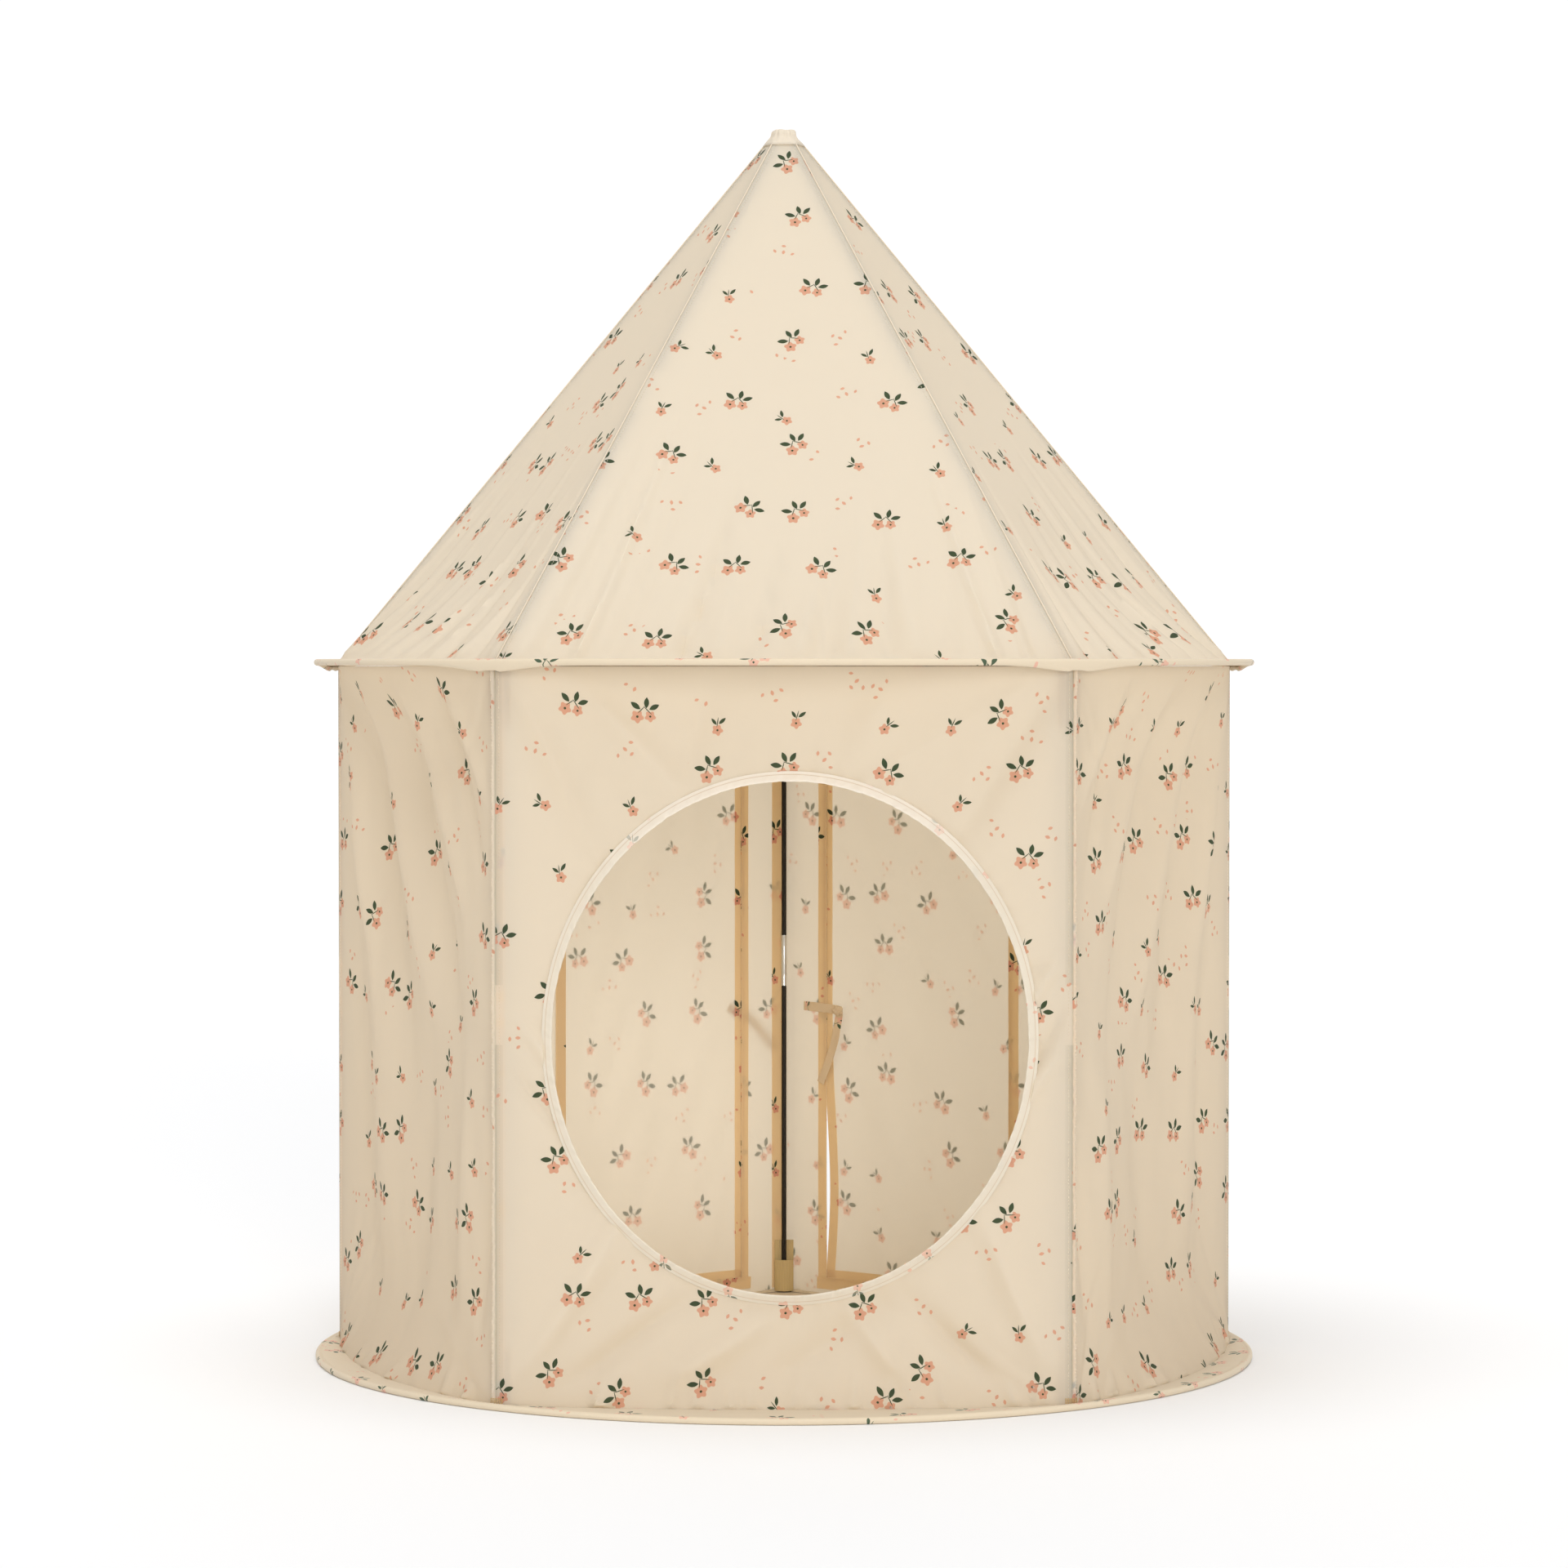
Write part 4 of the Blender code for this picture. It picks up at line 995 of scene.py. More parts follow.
# %% The wire in the eave's casing
WIRE_R, WIRE_STEPS, WIRE_SIDES = 0.0018, 240, 8
around = np.linspace(0, 360, WIRE_STEPS, endpoint=False)
rings = []
for turn in np.linspace(0, math.tau, WIRE_SIDES, endpoint=False):
    height = EAVE_Z + WIRE_R * math.sin(turn) + eave_bow(around)
    rings.append(polar(around, HOOP_R + WIRE_R * math.cos(turn), height))
quads = grid_quads(WIRE_STEPS, WIRE_SIDES, ring=True, closed=True)
wire_mesh = bpy.data.meshes.new("bowed_eave_hoop")
wire_mesh.from_pydata(np.concatenate(rings).tolist(), [], quads.tolist())
turn_faces_out(wire_mesh)
shade_smooth(wire_mesh)
eave_wire = placed("bowed_eave_hoop", wire_mesh)
print("the wire bows", round(np.ptp(eave_bow(around)) * 1000, 1), "mm")

# %% [markdown]
# ## Gathered tip
# At the peak the five panels are gathered over the rods' ends and sewn flat. A turned shape with a few
# radial folds and an uneven crown gives the bunched cloth.

# %% Roof tip
TIP_SIDES = 90
# Height and radius of each ring
levels = [
    (1.2885, 0.0224), (1.2915, 0.0198), (1.2940, 0.0172), (1.2962, 0.0145), (1.2985, 0.0126),
    (1.3012, 0.0118), (1.3036, 0.0114), (1.3050, 0.0100), (1.3054, 0.0070), (1.3048, 0.0035)]
CROWN_Z = 1.3040
turn = np.linspace(0, math.tau, TIP_SIDES, endpoint=False)
bearing = np.degrees(turn) % 360
roof_shape = np.ones(TIP_SIDES)
for left, right, _, _ in SPANS.values():
    off = np.radians(bearing - (left + right) / 2)
    inside = np.abs(off) <= math.radians(left - right) / 2 + 1e-6
    roof_shape[inside] = (math.cos(math.radians(left - right) / 2) / np.cos(off))[inside]
fold = 0.6 * np.cos(9 * turn + 0.7) + 0.4 * np.cos(5 * turn + 2.1) + 0.35 * np.cos(16 * turn)
rows = []
for index, (height, radius) in enumerate(levels):
    radius = radius * roof_shape ** max(0, 1 - index / 5)
    grow = 0.0011 * min(1, index / 3) * np.minimum(1, radius / 0.008)
    lump = 0.0012 * (np.cos(3 * turn + 1.0) - 1) / 2 * max(0, index - 4) / 5
    rows.append(np.stack([(radius + grow * fold) * np.sin(turn), (radius + grow * fold) * np.cos(turn),
                          height + lump], -1))
points = np.concatenate([*rows, [[0, 0, CROWN_Z]]])
quads = grid_quads(TIP_SIDES, len(levels), ring=True)[:, ::-1].tolist()
crown = len(points) - 1
top = crown - TIP_SIDES
caps = [(top + (i + 1) % TIP_SIDES, top + i, crown) for i in range(TIP_SIDES)]
tip_mesh = bpy.data.meshes.new("gathered_tip")
tip_mesh.from_pydata(points.tolist(), [], quads + caps)
maps = np.stack([points[:, 0] + 0.3, points[:, 2]], -1)
set_map(tip_mesh, "cloth", maps[np.concatenate([np.ravel(quads), np.ravel(caps)])])
tip_mesh.materials.append(tip_cloth)
tip = placed("gathered_tip", tip_mesh)
solid = tip.modifiers.new("Cloth", "SOLIDIFY")
solid.thickness, solid.offset = 0.0008, 1.0
bpy.context.view_layer.update()
made = bpy.data.meshes.new_from_object(tip.evaluated_get(bpy.context.evaluated_depsgraph_get()))
tip.modifiers.clear()
tip.data = made
shade_smooth(made)
print("tip has", len(tip.data.polygons), "faces")

# %% [markdown]
# ## Ties
# Short tapes of the printed cloth tie the doors back. The left one hangs loose outside. The right one is
# knotted, and its tail falls across the strip beside the rear corner.

# %% Tapes
TIE_WIDTH, TIE_T, TIE_STEPS = 0.0105, 0.0006, 40
ACROSS = (-1, -0.5, 0, 0.5, 1)


def tape(name, span, stops, out, sway, inside):
    """A tape along a smooth line through stops, each (distance from the rear corner, height)."""
    t = np.linspace(0, 1, TIE_STEPS)
    known = np.linspace(0, 1, len(stops))
    far, z = (np.interp(t, known, values) for values in zip(*stops))
    far, z = (np.convolve(np.pad(values, 4, "edge"), np.ones(9) / 9, "valid") for values in (far, z))
    along = far if span == "rear_left" else span_length(span) - far
    lift = out + sway * (np.sin(math.pi * t) + 0.4 * np.sin(2.5 * math.pi * t))
    line = wall_surface(span, along, z) + lift[:, None] * outward(span)
    tangent = np.gradient(line, axis=0)
    tangent /= np.linalg.norm(tangent, axis=1, keepdims=True)
    side = np.cross(tangent, outward(span))
    if inside:
        side = -side
    curl = 0.0008 * np.sin(3 * math.pi * t)
    grid = [line + side * w * TIE_WIDTH / 2 + outward(span) * (curl * abs(w))[:, None] for w in ACROSS]
    points = np.stack(grid, 1).reshape(-1, 3)
    maps = np.stack([np.tile(ACROSS, TIE_STEPS) * TIE_WIDTH / 2, np.repeat(t, len(ACROSS)) * 0.1], -1)
    quads = grid_quads(len(ACROSS), TIE_STEPS)
    return sheet_object(name, points, quads, maps, [tape_cloth], thickness=TIE_T)


left_way = ((0.085, 0.339), (0.050, 0.322), (0.010, 0.283))
left_tie = tape("left_tie", "rear_left", left_way, 0.0040, 0.0010, False)
right_way = ((0.088, 0.333), (0.083, 0.300), (0.058, 0.246))
right_tie = tape("right_tie", "rear_right", right_way, -0.0036, -0.0020, True)
stub_way = ((0.032, 0.338), (0.050, 0.3375), (0.088, 0.335))
stub = tape("right_tie_stub", "rear_right", stub_way, -0.0030, -0.0006, True)

# %% Knot of the right tie
KNOT_R, KNOT_LIFT = 0.006, 0.0064
knot_bm = bmesh.new()
spot = wall_surface("rear_right", np.array(span_length("rear_right") - 0.088), np.array(0.335))
spot = spot - KNOT_LIFT * outward("rear_right")
bmesh.ops.create_uvsphere(knot_bm, u_segments=28, v_segments=18, radius=KNOT_R)
for vert in knot_bm.verts:
    way = vert.co.normalized()
    vert.co *= 1 + 0.13 * math.sin(5 * way.x + 4 * way.z) - 0.10 * abs(way.y)
knot_bm.transform(Matrix.Translation(spot))
knot_mesh = bpy.data.meshes.new("right_tie_knot")
knot_bm.to_mesh(knot_mesh)
knot_bm.free()
knot_mesh.uv_layers.new(name="cloth")
knot_mesh.materials.append(tape_cloth)
shade_smooth(knot_mesh)
knot = placed("right_tie_knot", knot_mesh)
print("ties are", round(TIE_WIDTH * 1000, 1), "mm wide")

# %% [markdown]
# ## Poles
# A pole is two satin black rods pushed into a rolled steel ferrule, and each of its ends stands in a
# pocket of ribbed webbing. All pieces are turned or swept in one corner's own frame and then turned to
# their corner.

# %% Rods and ferrules
POLE_R, ROD_R, FERRULE_R, FERRULE_BORE = 0.4745, 0.0028, 0.0034, 0.0031
FOOT_Z, TOP_Z, FERRULE_Z, FERRULE_LENGTH = 0.0025, 0.7346, 0.361, 0.059
ROD_GAP, POCKET_FLOOR = 0.0003, 0.0015
TURN_SIDES = 24
CORNERS = {"rear": 0.0, "right": 81.0, "front_right": 144.4, "front_left": 215.6, "left": 279.0}


def plain_material(name, colour, roughness, metallic=0.0):
    material = bpy.data.materials.new(name)
    material.use_nodes = True
    surface = material.node_tree.nodes["Principled BSDF"]
    surface.inputs["Base Color"].default_value = (*colour, 1.0)
    surface.inputs["Roughness"].default_value = roughness
    surface.inputs["Metallic"].default_value = metallic
    return material


black_rod = plain_material("black_rod", (0.013, 0.009, 0.004), 0.48)
black_rod.node_tree.nodes["Principled BSDF"].inputs["Specular IOR Level"].default_value = 0.25
ferrule_steel = plain_material("ferrule_steel", (0.62, 0.62, 0.60), 0.28, 1.0)
spring_steel = plain_material("spring_steel", (0.42, 0.42, 0.43), 0.35, 1.0)


def turned(name, profile, material, matrix):
    """Turn a closed or capped profile of (radius, z) round the upright axis and seat it."""
    bm = bmesh.new()
    rings = []
    for radius, height in profile:
        if radius == 0:
            rings.append([bm.verts.new((0, 0, height))])
            continue
        steps = [math.tau * i / TURN_SIDES for i in range(TURN_SIDES)]
        rings.append([bm.verts.new((radius * math.cos(t), radius * math.sin(t), height)) for t in steps])
    pairs = list(zip(rings, rings[1:]))
    if len(rings[0]) > 1:
        pairs.append((rings[-1], rings[0]))
    for low, high in pairs:
        for i in range(TURN_SIDES):
            j = (i + 1) % TURN_SIDES
            corners = (low[i % len(low)], low[j % len(low)], high[j % len(high)], high[i % len(high)])
            bm.faces.new(list(dict.fromkeys(corners)))
    bmesh.ops.recalc_face_normals(bm, faces=bm.faces)
    bm.transform(matrix)
    mesh = bpy.data.meshes.new(name)
    bm.to_mesh(mesh)
    bm.free()
    mesh.materials.append(material)
    shade_smooth(mesh, sharp=40)
    return placed(name, mesh)


def rod(name, low, high, matrix):
    end = 0.0005
    profile = [(0, low), (ROD_R - end, low), (ROD_R, low + end),
               (ROD_R, high - end), (ROD_R - end, high), (0, high)]
    return turned(name, profile, black_rod, matrix)


def ferrule(name, low, matrix, bore=FERRULE_BORE):
    """A rolled tube: flared lips at its ends and two shallow crimps."""
    high = low + FERRULE_LENGTH
    neck = FERRULE_R - 0.00016
    crimp = neck - 0.0001
    outside = [
        (FERRULE_R, low), (FERRULE_R, low + 0.0012), (neck, low + 0.0020), (neck, low + 0.012),
        (crimp, low + 0.0128), (neck, low + 0.0136), (neck, high - 0.0136), (crimp, high - 0.0128),
        (neck, high - 0.012), (neck, high - 0.0020), (FERRULE_R, high - 0.0012), (FERRULE_R, high)]
    return turned(name, [*outside, (bore, high), (bore, low)], ferrule_steel, matrix)


def corner_frame(angle, radius, z=0.0):
    return Matrix.Rotation(-math.radians(angle), 4, "Z") @ Matrix.Translation((0.0, radius, z))


for corner, angle in CORNERS.items():
    stand = corner_frame(angle, POLE_R)
    lower = rod(corner + "_satin_lower_rod", FOOT_Z + POCKET_FLOOR, FERRULE_Z - ROD_GAP, stand)
    upper = rod(corner + "_satin_upper_rod", FERRULE_Z + ROD_GAP, TOP_Z - POCKET_FLOOR, stand)
    sleeve = ferrule(corner + "_rolled_ferrule", FERRULE_Z, stand)
    for piece, node, body in ((lower, "_lower_rod", "_lower_pole"), (upper, "_upper_rod", "_upper_pole"),
                              (sleeve, "_ferrule", "_upper_pole")):
        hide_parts(corner + node)
        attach(piece, corner + body)
print("wall poles:", len(CORNERS))

# %% [markdown]
# The roof's rods lie just under its ridges, each with a ferrule halfway up.

# %% Roof poles
ROOF_SLOPE = CORNER_R / (PEAK_Z - ROOF_FOOT_Z)
ROOF_LEAN = math.atan(ROOF_SLOPE)
ROD_FOOT, ROD_TOP, ROD_DEPTH = 0.7425, 1.286, 0.0068
for corner, angle in CORNERS.items():
    radius = ROOF_SLOPE * (PEAK_Z - ROD_FOOT) - ROD_DEPTH / math.cos(ROOF_LEAN)
    place = corner_frame(angle, radius, ROD_FOOT) @ Matrix.Rotation(ROOF_LEAN, 4, "X")
    reach = (ROD_TOP - ROD_FOOT) / math.cos(ROOF_LEAN)
    pole = rod(corner + "_satin_roof_rod", 0.0, reach, place)
    sleeve = ferrule(corner + "_roof_ferrule", (reach - FERRULE_LENGTH) / 2, place, ROD_R + 0.0001)
    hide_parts(corner + "_roof_pole")
    for piece, slot in ((pole, "black_rod"), (sleeve, "ferrule_steel")):
        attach(piece, "roof")
print("roof poles lean", round(math.degrees(ROOF_LEAN), 1), "degrees")

# %% [markdown]
# ## Webbing pockets
# A length of ribbed tape is folded under the rod's end and sewn at its sides, with its back run longer
# than its front. The front bulges over the rod. The ribs are small waves across the tape.

# %% Pockets
POCKET_WIDTH, POCKET_DEPTH, POCKET_LENGTH, STRAP_LENGTH = 0.022, 0.0094, 0.0365, 0.0595
FRONT_T, BACK_T = 0.0012, 0.0013
POCKET_COLUMNS, POCKET_ROWS = 67, 30
webbing = plain_material("ribbed_webbing", (0.56, 0.42, 0.20), 0.72)


def pocket(name, matrix):
    """A pocket with its closed end at z = 0 and its front at y = 0."""
    u = np.linspace(-1, 1, POCKET_COLUMNS)
    ribs = 0.00014 * np.cos(u * math.pi * 11)
    x = u * POCKET_WIDTH / 2
    edge = np.clip((1 - np.abs(u)) / 0.08, 0, 1)
    front = 0.0002 + 0.0063 * np.abs(u) ** 2.4 - ribs * edge
    back = POCKET_DEPTH - 0.0015 - ribs * edge
    pieces = []
    for label, depth, length, thick, lip in (("front", front, POCKET_LENGTH, FRONT_T, 0.00018),
                                             ("back", back, STRAP_LENGTH, BACK_T, 0.0)):
        grid_x, grid_z = np.meshgrid(x, np.linspace(0.0, length, POCKET_ROWS))
        mouth = lip * np.clip((grid_z - length + 0.004) / 0.004, 0, 1)
        points = np.stack([grid_x, depth - mouth, grid_z], -1).reshape(-1, 3)
        pieces.append(sheet_object(name + label, points, grid_quads(POCKET_COLUMNS, POCKET_ROWS),
                                   points[:, [0, 2]], [webbing], thickness=thick))
    shape = [(a, b, 0.0) for a, b in zip(x[::3], front[::3])]
    shape += [(POCKET_WIDTH / 2, POCKET_DEPTH, 0.0), (-POCKET_WIDTH / 2, POCKET_DEPTH, 0.0)]
    bm = bmesh.new()
    foot = bm.faces.new([bm.verts.new(p) for p in shape])
    lifted = bmesh.ops.extrude_face_region(bm, geom=[foot])["geom"]
    upper = [g for g in lifted if isinstance(g, bmesh.types.BMVert)]
    bmesh.ops.translate(bm, vec=(0, 0, FRONT_T), verts=upper)
    bmesh.ops.recalc_face_normals(bm, faces=bm.faces)
    for piece in pieces:
        bm.from_mesh(piece.data)
        bpy.data.objects.remove(piece)
    bm.transform(matrix)
    mesh = bpy.data.meshes.new(name)
    bm.to_mesh(mesh)
    bm.free()
    mesh.materials.append(webbing)
    mesh.set_sharp_from_angle(angle=math.radians(45))
    return placed(name, mesh)


half_turn = Matrix.Rotation(math.pi, 4, "Y")
for corner, angle in CORNERS.items():
    front_r = POLE_R - POCKET_DEPTH / 2
    foot = pocket(corner + "_webbing_foot", corner_frame(angle, front_r, FOOT_Z))
    top = pocket(corner + "_webbing_top", corner_frame(angle, front_r, TOP_Z) @ half_turn)
    for piece, node, body in ((foot, "_foot_pocket", "_lower_pole"), (top, "_eave_pocket", "_upper_pole")):
        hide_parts(corner + node)
        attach(piece, corner + body)
print("pockets:", 2 * len(CORNERS))

# %% [markdown]
# A few pieces are plain enough to stay as the frame has them: the roof's pockets, the hoop in the base
# and the hoops' joiners. They only get a material.

# %% Pieces kept from the frame
kept = {corner + "_roof_pocket": webbing for corner in CORNERS}
kept.update(dict.fromkeys(("base_hoop", "base_hoop_joiner", "eave_hoop_joiner"), spring_steel))
for node, material in kept.items():
    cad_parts[node].data.materials.clear()
    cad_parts[node].data.materials.append(material)
eave_wire.data.materials.append(spring_steel)
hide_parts("eave_hoop")
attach(eave_wire, "roof")
print("kept from the frame:", len(kept), "nodes")

# %% [markdown]
# ## Floor
# The floor sheet is a flat round cloth inside the base hoop, with a slight unevenness.

# %% Floor sheet
FLOOR_R, FLOOR_Z, FLOOR_RINGS, FLOOR_SPOKES = 0.4908, 0.0008, 12, 120
turn = np.linspace(0, math.tau, FLOOR_SPOKES, endpoint=False)
turn, ring = (g.ravel() for g in np.meshgrid(turn, np.linspace(0.02, 1, FLOOR_RINGS)))
x, y = FLOOR_R * ring * np.cos(turn), FLOOR_R * ring * np.sin(turn)
points = np.stack([x, y, FLOOR_Z - 0.0001 * (1 + soft_noise(x, y, 2, 0.3))], -1)
quads = grid_quads(FLOOR_SPOKES, FLOOR_RINGS, ring=True)[:, ::-1]
floor_sheet = sheet_object("sewn_floor_sheet", points, quads, points[:, :2], [floor_cloth])

# %% [markdown]
# ## Ridge piping
# Where two roof panels meet, their edges are turned in together and topped with a thin cord of the same
# cloth. It shows as a bright line down each ridge. Each cord is a small six-sided tube along its ridge.

# %% Cords on the ridges
CORD_R, CORD_SIDES = 0.0007, 6


def cord(name, line):
    """A closed tube along a line of points."""
    tangent = np.gradient(line, axis=0)
    tangent /= np.linalg.norm(tangent, axis=1, keepdims=True)
    across = np.cross(tangent, (0.0, 0.0, 1.0))
    across /= np.linalg.norm(across, axis=1, keepdims=True)
    over = np.cross(across, tangent)
    turn = np.linspace(0, math.tau, CORD_SIDES, endpoint=False)[None, :, None]
    rings = line[:, None] + CORD_R * (np.cos(turn) * across[:, None] + np.sin(turn) * over[:, None])
    count = len(line)
    quads = grid_quads(CORD_SIDES, count, ring=True).tolist()
    ends = [list(range(CORD_SIDES)), list(range(CORD_SIDES * (count - 1), CORD_SIDES * count))]
    mesh = bpy.data.meshes.new(name)
    mesh.from_pydata(rings.reshape(-1, 3).tolist(), [], quads + ends)
    mesh.uv_layers.new(name="cloth")
    mesh.materials.append(piping_cloth)
    turn_faces_out(mesh)
    shade_smooth(mesh)
    return placed(name, mesh)


cords = []
for corner, angle in CORNERS.items():
    z = np.linspace(ROOF_FOOT_Z + 0.002, ROOF_TOP_Z, 120)
    ridge = CORNER_R * (PEAK_Z - z) / (PEAK_Z - ROOF_FOOT_Z)
    cords.append(cord(corner + "_ridge_cord", polar(angle, ridge + 0.0002, z)))
print("ridge cords:", len(cords))

# %% [markdown]
# ## Stitches
# Every seam is topstitched. A stitch is the same small bead of thread many times over along a line, which
# is what Geometry Nodes are for: the tree turns seam lines into evenly spaced points, puts a bead on each
# along the line, and makes them real. At the foot of each corner a bar of close, darker stitches holds
# the walls to the skirt.

# %% Stitch tree
thread = plain_material("sewing_thread", (0.80, 0.70, 0.54), 0.6)
tree = bpy.data.node_groups.new("stitches_along_lines", "GeometryNodeTree")
for label, kind, value in (
        ("Lines", "NodeSocketGeometry", None), ("Pitch", "NodeSocketFloat", 0.0034),
        ("Stitch length", "NodeSocketFloat", 0.0026), ("Thread radius", "NodeSocketFloat", 0.00028),
        ("Thread", "NodeSocketMaterial", None)):
    socket = tree.interface.new_socket(name=label, in_out="INPUT", socket_type=kind)
    if value is not None:
        socket.default_value = value
tree.interface.new_socket(name="Stitches", in_out="OUTPUT", socket_type="NodeSocketGeometry")
given, result = tree.nodes.new("NodeGroupInput").outputs, tree.nodes.new("NodeGroupOutput").inputs
to_curve = tree.nodes.new("GeometryNodeMeshToCurve")
even = tree.nodes.new("GeometryNodeResampleCurve")
even.mode = "LENGTH"
bead = tree.nodes.new("GeometryNodeMeshIcoSphere")
bead.inputs["Subdivisions"].default_value = 1
bead.inputs["Radius"].default_value = 1.0
shape = tree.nodes.new("ShaderNodeCombineXYZ")
put(tree, given["Thread radius"], shape.inputs[0])
put(tree, given["Thread radius"], shape.inputs[1])
put(tree, Value(tree, given["Stitch length"]) * 0.5, shape.inputs[2])
tangent = tree.nodes.new("GeometryNodeInputTangent")
align = tree.nodes.new("FunctionNodeAlignEulerToVector")
align.axis = "Z"
tree.links.new(tangent.outputs[0], align.inputs["Vector"])
place = tree.nodes.new("GeometryNodeInstanceOnPoints")
real = tree.nodes.new("GeometryNodeRealizeInstances")
paint = tree.nodes.new("GeometryNodeSetMaterial")
for source, target in ((given["Lines"], to_curve.inputs[0]), (to_curve.outputs[0], even.inputs["Curve"]),
                       (given["Pitch"], even.inputs["Length"]), (even.outputs[0], place.inputs["Points"]),
                       (bead.outputs["Mesh"], place.inputs["Instance"]),
                       (align.outputs[0], place.inputs["Rotation"]),
                       (shape.outputs[0], place.inputs["Scale"]), (place.outputs[0], real.inputs[0]),
                       (real.outputs[0], paint.inputs["Geometry"]),
                       (given["Thread"], paint.inputs["Material"]),
                       (paint.outputs[0], result["Stitches"])):
    tree.links.new(source, target)
stitch_tree = tree


def stitches(name, lines, yarn=thread, **sizes):
    """Stitch every line, and keep the result as a plain mesh."""
    points, edges = [], []
    for line in lines:
        first = len(points)
        points += [tuple(p) for p in line]
        edges += [(first + i, first + i + 1) for i in range(len(line) - 1)]
    mesh = bpy.data.meshes.new(name)
    mesh.from_pydata(points, edges, [])
    obj = placed(name, mesh)
    modifier = obj.modifiers.new("Stitches", "NODES")
    modifier.node_group = stitch_tree
    for item in stitch_tree.interface.items_tree:
        if item.in_out == "INPUT" and item.name in sizes:
            modifier[item.identifier] = sizes[item.name]
        if item.in_out == "INPUT" and item.name == "Thread":
            modifier[item.identifier] = yarn
    bpy.context.view_layer.update()
    made = bpy.data.meshes.new_from_object(obj.evaluated_get(bpy.context.evaluated_depsgraph_get()))
    obj.modifiers.clear()
    obj.data = made
    shade_smooth(made)
    print(name, len(made.polygons) // 20, "stitches")
    return obj


# %% Stitch every seam
STITCH_INSET, LINE_STEPS = 0.0045, 160
up = np.linspace(WALL_FOOT_Z + 0.003, WALL_TOP_Z - 0.003, LINE_STEPS)
wall_lines, roof_lines = [], []
for span in SPANS:
    length = span_length(span)
    for far in (STITCH_INSET, length - STITCH_INSET):
        wall_lines.append(wall_points(span, np.full(LINE_STEPS, far), up, 0.0001))
    rise = np.linspace(ROOF_FOOT_Z + 0.004, ROOF_TOP_Z - 0.002, LINE_STEPS)
    inset = STITCH_INSET / (length * (PEAK_Z - rise) / (PEAK_Z - ROOF_FOOT_Z))
    normal = polar(sum(SPANS[span][:2]) / 2, math.cos(0.68), math.sin(0.68))
    for share in (inset, 1 - inset):
        roof_lines.append(roof_points(span, share, rise) + 0.0001 * normal)
turn = np.linspace(0, math.tau, 500)
along = OPENING[0] + (HALF_OPENING[0] + 0.0004) * np.cos(turn)
z = OPENING[1] + (HALF_OPENING[1] + 0.0004) * np.sin(turn)
wall_lines.append(wall_surface("front", along, z) + 0.0006 * outward("front"))
circle = np.linspace(0, 360, 700)
seam_r = HOOP_R - 0.0046
base_line = polar(circle, seam_r, 0.0062)
eave_line = polar(circle, seam_r, 0.73605 + eave_bow(circle))
wall_seams = stitches("wall_stitches", wall_lines)
roof_seams = stitches("roof_stitches", [*roof_lines, eave_line])
base_seam = stitches("base_stitches", [base_line])

# %% Bar tacks
TACK_ROWS, TACK_LIFT = (0.0062, 0.0106), 0.0010
tack_thread = plain_material("tack_thread", (0.60, 0.41, 0.18), 0.6)
tack_lines = []
round_the_walls = ["left", "front", "right", "rear_right", "rear_left", "left"]
reach = np.linspace(SEAM_GAP, 0.007, 6)
for before, after in zip(round_the_walls, round_the_walls[1:]):
    for z in np.linspace(*TACK_ROWS, 5):
        level = np.full(len(reach), z)
        near = wall_points(before, span_length(before) - reach[::-1], level, TACK_LIFT)
        tack_lines.append(np.concatenate([near, wall_points(after, reach, level, TACK_LIFT)]))
tack_sizes = {"Pitch": 0.0021, "Stitch length": 0.0025, "Thread radius": 0.00045}
corner_tacks = stitches("corner_tacks", tack_lines, tack_thread, **tack_sizes)

# %% [markdown]
# ## Fasten the cloth to the frame
# Walls belong to the base. When the tent is folded the roof comes straight down, so the walls flatten
# between the two hoops. Each cloth piece is carried by a body, and the frame node it stands for is hidden.


def seat_wall(obj, *nodes):
    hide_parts(*nodes)
    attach(obj, "base")
    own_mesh(obj)


for wall, node in walls:
    seat_wall(wall, node)
    length = span_length(node[:-5])
    area = length * 0.732
    if node == "front_wall":
        area -= math.pi * HALF_OPENING[0] * HALF_OPENING[1]
    if node.startswith("rear"):
        area -= (DOOR_FAR["rear_left"] - DOOR_NEAR) * (DOOR_HEAD - DOOR_SILL)
    strips = hems[node[:-5]]
    for strip in strips:
        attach(strip, "base")
        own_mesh(strip)
    if node == "front_wall":
        seat_wall(binding, "opening_rim")
        strips = [*strips, binding]
for panel, node, length in roof_panels:
    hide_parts(node)
    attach(panel, "roof")
    slant = math.hypot(CORNER_R * 0.82, PEAK_Z - ROOF_FOOT_Z)
    length * slant / 2 * 0.998

for side, (flap, strips) in doors.items():
    for piece in (flap, *strips):
        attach(piece, side + "_door")
        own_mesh(piece)
    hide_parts(side + "_door_flap")
    "rear_" + side + "_wall"
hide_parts("left_door_tie")
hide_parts("right_door_tie")
for piece, body in ((left_tie, "left_door"), (right_tie, "base"), (stub, "base"), (knot, "base")):
    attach(piece, body)
    if body == "base":
        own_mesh(piece)
    else:
        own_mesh(piece)
for piece, node, body, part in ((base_casing, "base_hoop_casing", "base", "base_hoop"),
                                (eave_casing, "eave_hoop_casing", "roof", "eave_hoop")):
    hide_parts(node)
    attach(piece, body)
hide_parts("roof_cap")
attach(tip, "roof")
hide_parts("floor_sheet")
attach(floor_sheet, "base")
for seam in (wall_seams, corner_tacks):
    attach(seam, "base")
    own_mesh(seam)
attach(base_seam, "base")
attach(roof_seams, "roof")
for piece in cords:
    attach(piece, "roof")

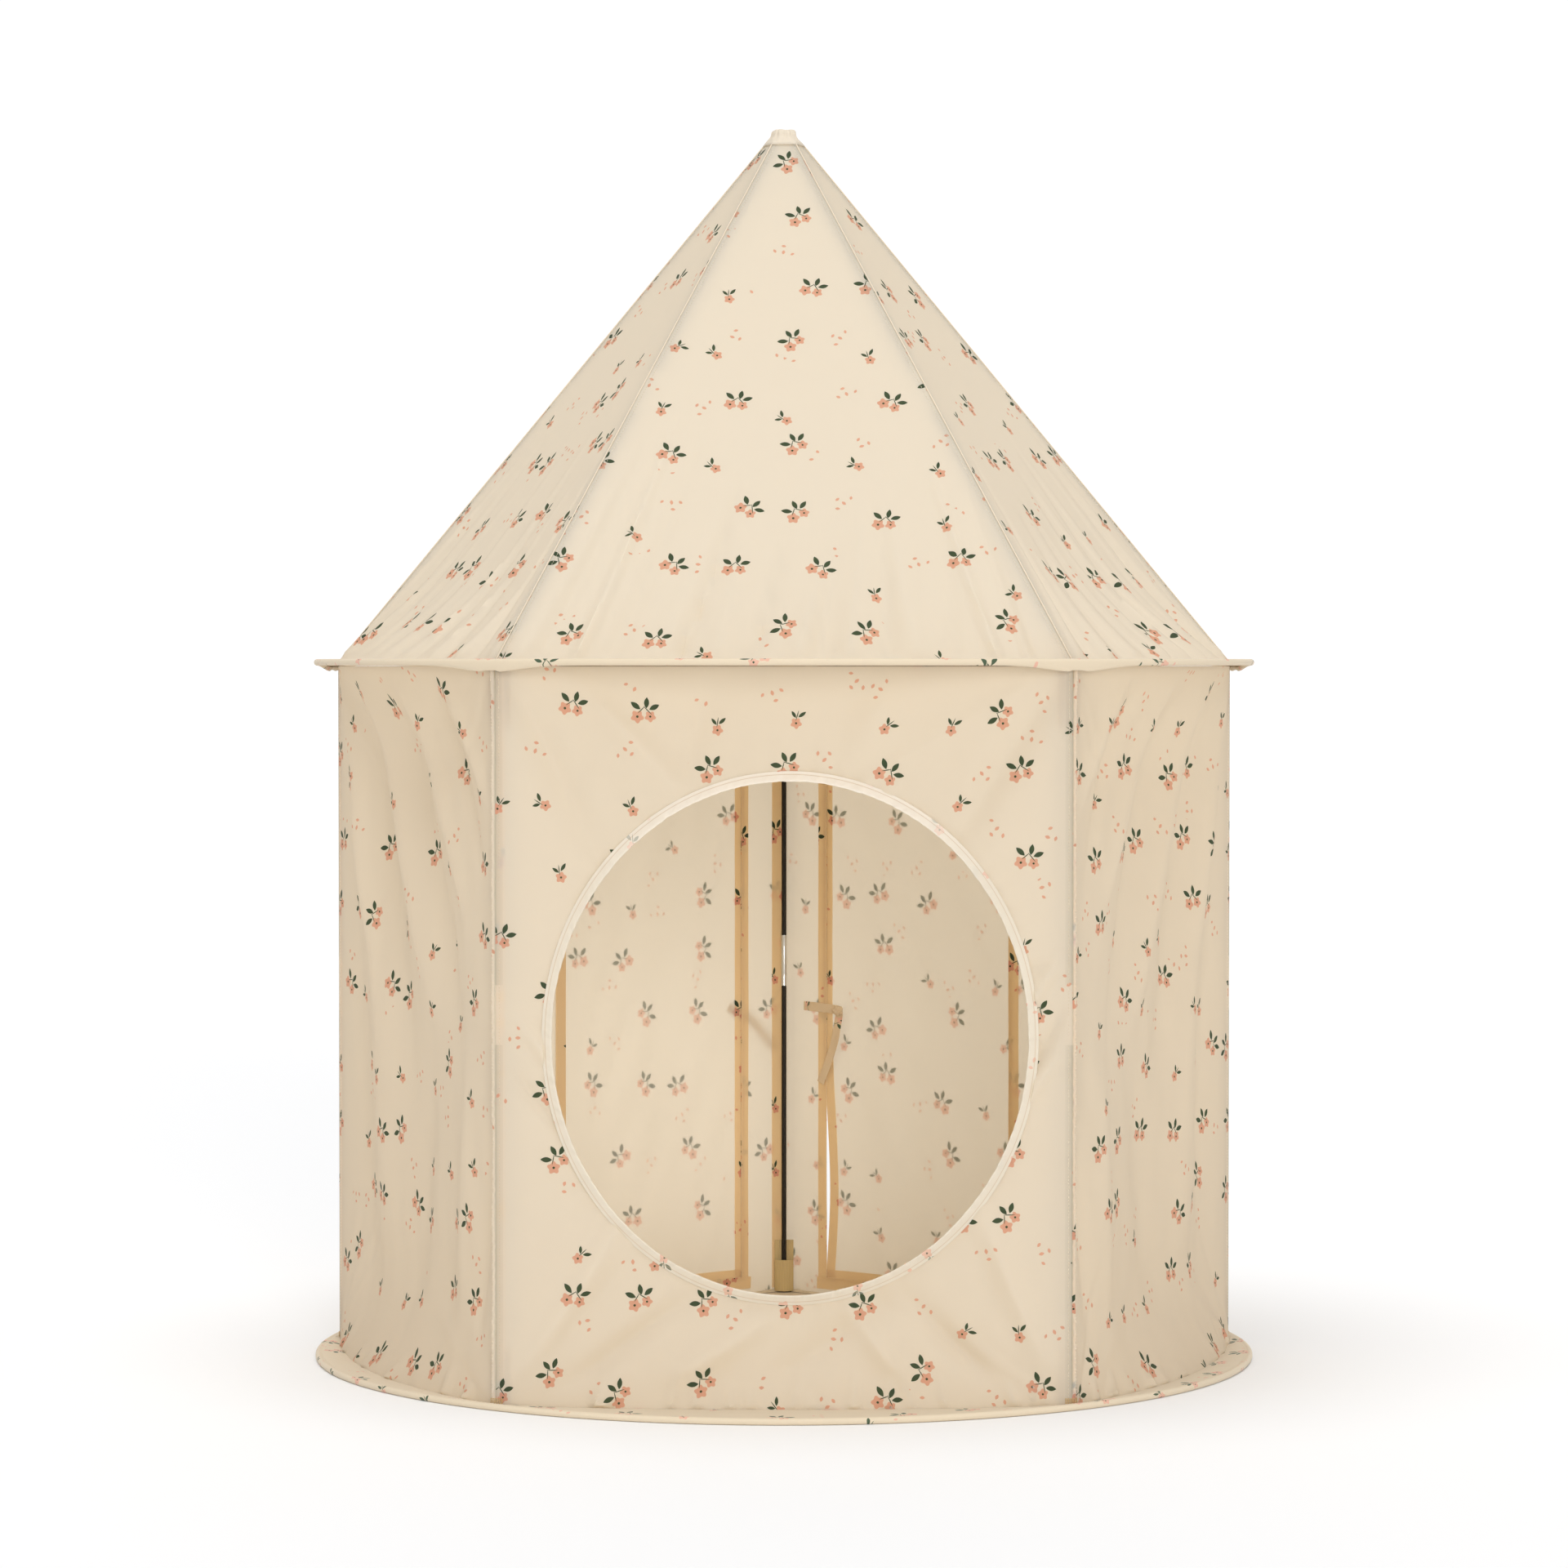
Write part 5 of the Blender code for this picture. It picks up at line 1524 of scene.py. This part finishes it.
# %% [markdown]
# ## Studio
# The tent stands on a pale floor before a white backdrop. The key light comes low from the camera's side,
# a broader one from above, and a weak one from behind. The camera has a long lens and stands five metres
# away.

# %% Floor and backdrop
floor_mesh = bpy.data.meshes.new("studio_floor")
floor_mesh.from_pydata([(-12, -12, 0), (12, -12, 0), (12, 12, 0), (-12, 12, 0)], [], [(0, 1, 2, 3)])
studio_floor = placed("studio_floor", floor_mesh)
pale = bpy.data.materials.new("pale_floor")
pale.use_nodes = True
pale.node_tree.nodes["Principled BSDF"].inputs["Base Color"].default_value = (0.90, 0.90, 0.905, 1)
pale.node_tree.nodes["Principled BSDF"].inputs["Roughness"].default_value = 0.9
floor_mesh.materials.append(pale)

world = bpy.data.worlds.new("studio")
bpy.context.scene.world = world
world.use_nodes = True
backdrop = world.node_tree.nodes["Background"]
backdrop.inputs["Color"].default_value = (1, 1, 1, 1)
seen = world.node_tree.nodes.new("ShaderNodeLightPath")
strength = calc(world.node_tree, "MULTIPLY_ADD", seen.outputs["Is Camera Ray"], 0.50, 0.55)
put(world.node_tree, strength, backdrop.inputs["Strength"])
bpy.context.scene.view_settings.view_transform = "Standard"

# %% Lights and camera


def soft_sun(name, direction, strength, spread_angle):
    data = bpy.data.lights.new(name, "SUN")
    data.energy, data.angle = strength, math.radians(spread_angle)
    lamp = placed(name, data)
    lamp.rotation_euler = Vector(direction).to_track_quat("-Z", "Y").to_euler()


soft_sun("key_light", (-0.16, 0.95, -0.17), 1.36, 24)
soft_sun("top_light", (0.08, 0.12, -1.0), 1.45, 50)
soft_sun("back_light", (0.05, -0.96, -0.12), 0.80, 60)

CAMERA_DISTANCE, CAMERA_HEIGHT, LOOKING_DOWN = 5.08, 0.7355, 1.43
camera_data = bpy.data.cameras.new("camera")
camera_data.lens = 109.1
camera_data.sensor_width = 36
camera = placed("camera", camera_data)
camera.location = (0.0, -CAMERA_DISTANCE, CAMERA_HEIGHT)
camera.rotation_euler = (math.radians(90 - LOOKING_DOWN), 0, 0)
bpy.context.scene.camera = camera
